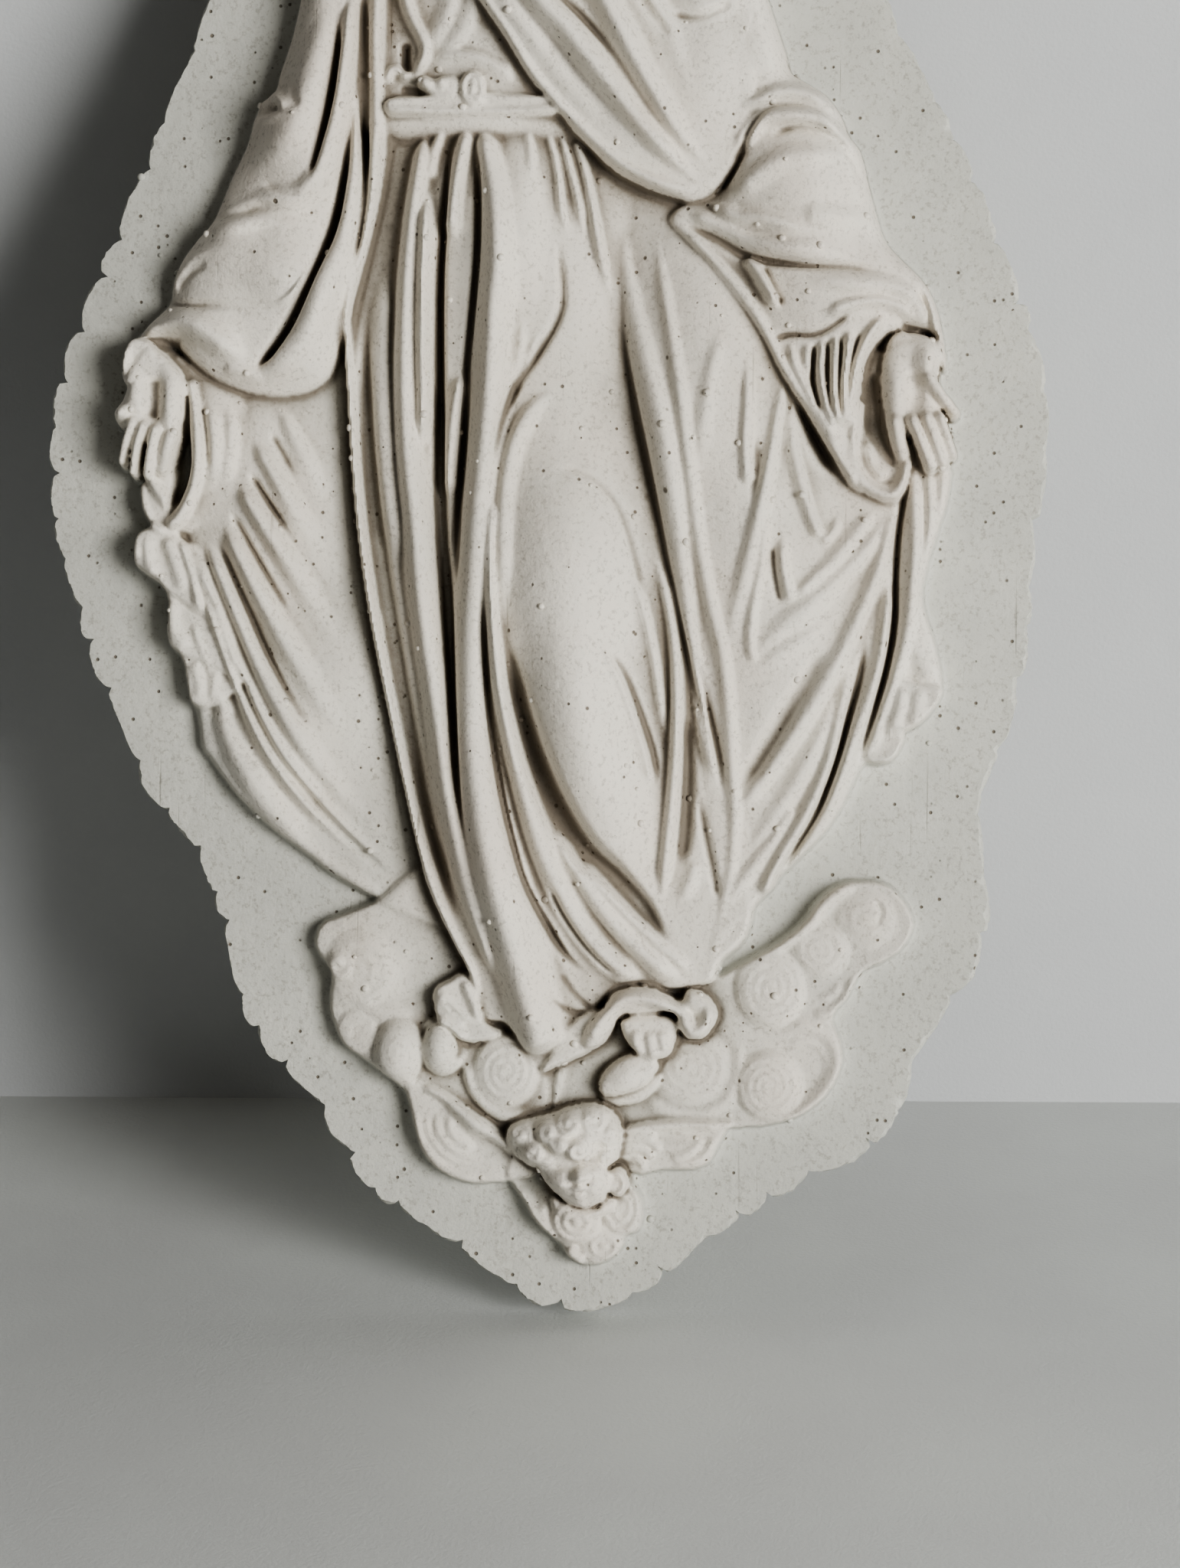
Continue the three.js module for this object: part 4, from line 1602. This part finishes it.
// A triangle net over the height grid, refined where it departs most from the heights
class Net {
  constructor(heights, columns, rows) {
    Object.assign(this, { heights, columns, rows });
    this.points = [];
    this.corners = [];
    this.twins = [];
    this.worst = [];
    const [a, b, c, d] = [[0, 0], [columns - 1, 0], [columns - 1, rows - 1], [0, rows - 1]]
      .map(([i, j]) => this.addPoint(i, j));
    this.setTriangle(0, a, b, c, -1, -1, -1);
    this.setTriangle(1, a, c, d, -1, -1, -1);
    this.link(2, 3);
  }

  addPoint(i, j) {
    this.points.push([i, j, this.heights[j * this.columns + i]]);
    return this.points.length - 1;
  }

  link(e, f) {
    this.twins[e] = f;
    if (f >= 0) this.twins[f] = e;
  }

  setTriangle(t, a, b, c, ab, bc, ca) {
    [a, b, c].forEach((corner, k) => { this.corners[3 * t + k] = corner; });
    [ab, bc, ca].forEach((twin, k) => this.link(3 * t + k, twin));
    this.worst[t] = null;
  }

  next(e) {
    return e % 3 === 2 ? e - 2 : e + 1;
  }

  cross(a, b, p) {
    return (b[0] - a[0]) * (p[1] - a[1]) - (b[1] - a[1]) * (p[0] - a[0]);
  }

  // The grid point in a triangle whose height departs most from its plane
  search(t) {
    const [a, b, c] = [0, 1, 2].map((k) => this.points[this.corners[3 * t + k]]);
    const area = this.cross(a, b, c);
    let best = { error: 0, i: 0, j: 0 };
    const j0 = Math.min(a[1], b[1], c[1]);
    const j1 = Math.max(a[1], b[1], c[1]);
    const i0 = Math.min(a[0], b[0], c[0]);
    const i1 = Math.max(a[0], b[0], c[0]);
    for (let j = j0; j <= j1; j += 1) {
      for (let i = i0; i <= i1; i += 1) {
        const p = [i, j];
        const wa = this.cross(b, c, p);
        const wb = this.cross(c, a, p);
        const wc = area - wa - wb;
        if (wa >= 0 && wb >= 0 && wc >= 0) {
          const plane = (wa * a[2] + wb * b[2] + wc * c[2]) / area;
          const error = Math.abs(plane - this.heights[j * this.columns + i]);
          if (error > best.error) best = { error, i, j };
        }
      }
    }
    return best;
  }

  refine(tolerance) {
    for (;;) {
      let chosen = -1;
      for (let t = 0; t < this.worst.length; t += 1) {
        if (!this.worst[t]) this.worst[t] = this.search(t);
        if (chosen < 0 || this.worst[t].error > this.worst[chosen].error) chosen = t;
      }
      if (this.worst[chosen].error <= tolerance) return;
      this.insert(chosen);
    }
  }

  insert(t) {
    const { i, j } = this.worst[t];
    const p = this.addPoint(i, j);
    const place = this.points[p];
    const ends = [0, 1, 2].map((k) => this.points[this.corners[3 * t + k]]);
    const flat = [0, 1, 2].find((k) => this.cross(ends[k], ends[(k + 1) % 3], place) === 0);
    if (flat === undefined) this.splitFace(t, p);
    else this.splitEdge(3 * t + flat, p);
  }

  splitFace(t, p) {
    const [a, b, c] = [0, 1, 2].map((k) => this.corners[3 * t + k]);
    const [ab, bc, ca] = [0, 1, 2].map((k) => this.twins[3 * t + k]);
    const u = this.worst.length;
    const v = u + 1;
    this.setTriangle(t, a, b, p, ab, -1, -1);
    this.setTriangle(u, b, c, p, bc, -1, -1);
    this.setTriangle(v, c, a, p, ca, -1, -1);
    this.link(3 * t + 1, 3 * u + 2);
    this.link(3 * u + 1, 3 * v + 2);
    this.link(3 * v + 1, 3 * t + 2);
    [t, u, v].forEach((face) => this.legalize(3 * face));
  }

  splitEdge(e, p) {
    const f = this.twins[e];
    const t = Math.floor(e / 3);
    const [ea, eb] = [this.next(e), this.next(this.next(e))];
    const [a, b, c] = [e, ea, eb].map((edge) => this.corners[edge]);
    const [bc, ca] = [this.twins[ea], this.twins[eb]];
    if (f < 0) {
      const u = this.worst.length;
      this.setTriangle(t, c, a, p, ca, -1, -1);
      this.setTriangle(u, b, c, p, bc, -1, -1);
      this.link(3 * u + 1, 3 * t + 2);
      [t, u].forEach((face) => this.legalize(3 * face));
      return;
    }
    const g = Math.floor(f / 3);
    const [fa, fb] = [this.next(f), this.next(this.next(f))];
    const d = this.corners[fb];
    const [ad, db] = [this.twins[fa], this.twins[fb]];
    const u = this.worst.length;
    const v = u + 1;
    this.setTriangle(t, c, a, p, ca, -1, -1);
    this.setTriangle(g, b, c, p, bc, -1, -1);
    this.setTriangle(u, d, b, p, db, -1, -1);
    this.setTriangle(v, a, d, p, ad, -1, -1);
    this.link(3 * g + 1, 3 * t + 2);
    this.link(3 * u + 1, 3 * g + 2);
    this.link(3 * v + 1, 3 * u + 2);
    this.link(3 * t + 1, 3 * v + 2);
    [t, g, u, v].forEach((face) => this.legalize(3 * face));
  }

  // Turns the edge round where the other one gives better shaped triangles
  legalize(e) {
    const f = this.twins[e];
    if (f < 0) return;
    const [en, ep] = [this.next(e), this.next(this.next(e))];
    const [fn, fp] = [this.next(f), this.next(this.next(f))];
    const [x, y, p, q] = [e, en, ep, fp].map((edge) => this.corners[edge]);
    if (!this.encloses(x, y, p, q)) return;
    const [yp, px, xq, qy] = [en, ep, fn, fp].map((edge) => this.twins[edge]);
    const t = Math.floor(e / 3);
    const g = Math.floor(f / 3);
    this.setTriangle(t, x, q, p, xq, -1, px);
    this.setTriangle(g, q, y, p, qy, yp, -1);
    this.link(3 * t + 1, 3 * g + 2);
    this.legalize(3 * t);
    this.legalize(3 * g);
  }

  // Whether q lies inside the circle through x, y and p
  encloses(x, y, p, q) {
    const [qi, qj] = this.points[q];
    const [ax, ay, bx, by, cx, cy] = [x, y, p]
      .flatMap((k) => [this.points[k][0] - qi, this.points[k][1] - qj]);
    const [aa, bb, cc] = [ax * ax + ay * ay, bx * bx + by * by, cx * cx + cy * cy];
    return ax * (by * cc - bb * cy) - ay * (bx * cc - bb * cx) + aa * (bx * cy - by * cx) > 0;
  }
}

const wasm = await Module();
wasm.setup();

function solidOf(geometry) {
  const bare = geometry.clone();
  bare.deleteAttribute('normal');
  bare.deleteAttribute('uv');
  const merged = BufferGeometryUtils.mergeVertices(bare, 1e-5);
  return new wasm.Manifold(new wasm.Mesh({
    numProp: 3,
    vertProperties: new Float32Array(merged.attributes.position.array),
    triVerts: new Uint32Array(merged.index.array),
  }));
}

function geometryOf(solid) {
  const mesh = solid.getMesh();
  const geometry = new THREE.BufferGeometry();
  geometry.setAttribute('position', new THREE.BufferAttribute(mesh.vertProperties, 3));
  geometry.setIndex(new THREE.BufferAttribute(mesh.triVerts, 1));
  geometry.computeVertexNormals();
  return geometry;
}

// The relief as a closed block on a flat back, wider than the plate all round
function reliefBlock(relief, scaleX, scaleZ, scaleY) {
  const net = new Net(relief.heights, relief.columns, relief.rows);
  net.refine(facetTolerance);
  const position = net.points.flatMap(([i, j, height]) => [
    relief.x(i) * scaleX, -plateThickness - height * scaleY, relief.z(j) * scaleZ]);
  const index = [];
  const count = net.points.length;
  const middle = 2 * count;
  net.points.forEach(([i, j]) => position.push(relief.x(i) * scaleX, 0, relief.z(j) * scaleZ));
  position.push(0, 0, 0);
  net.corners.forEach((corner) => index.push(corner));
  net.twins.forEach((twin, e) => {
    if (twin >= 0) return;
    const a = net.corners[e];
    const b = net.corners[net.next(e)];
    index.push(b, a, a + count, b, a + count, b + count, b + count, a + count, middle);
  });
  const used = [...new Set(index)].sort((a, b) => a - b);
  const renamed = new Map(used.map((old, k) => [old, k]));
  const geometry = new THREE.BufferGeometry();
  const kept = used.flatMap((old) => position.slice(3 * old, 3 * old + 3));
  geometry.setAttribute('position', new THREE.Float32BufferAttribute(kept, 3));
  geometry.setIndex(index.map((old) => renamed.get(old)));
  return geometry;
}

// A prism of the scalloped outline, deeper than the block both ways
function rimPrism(scaleX, scaleZ, depth) {
  const shape = new THREE.Shape(rimOutline(scaleX, scaleZ).map(([x, z]) => new THREE.Vector2(x, z)));
  const prism = new THREE.ExtrudeGeometry(shape, { depth, bevelEnabled: false });
  prism.rotateX(Math.PI / 2);
  prism.translate(0, cutMargin, 0);
  return prism;
}

function carve() {
  const relief = new Relief();
  [clouds, wings, leftMantle, torso, skirt, rightMantle, leftArm, shawl, rightArm, leftHand, rightHand,
    hem, cherub, head].forEach((place) => place(relief));
  relief.soften();
  relief.deepen();
  return relief;
}

function plaque() {
  const scaleX = plateWidth / drawnWidth;
  const scaleZ = plateHeight / drawnHeight;
  const scaleY = reliefHeight / drawnRelief;
  const block = solidOf(reliefBlock(carve(), scaleX, scaleZ, scaleY));
  const prism = solidOf(rimPrism(scaleX, scaleZ, plateThickness + 2 * reliefHeight));
  const material = new THREE.MeshStandardMaterial({ color: plasterColour, roughness: 0.9, metalness: 0 });
  const mesh = new THREE.Mesh(geometryOf(block.intersect(prism)), material);
  mesh.name = 'plaque';
  return mesh;
}

const group = new THREE.Group();
group.add(plaque());
export default group;
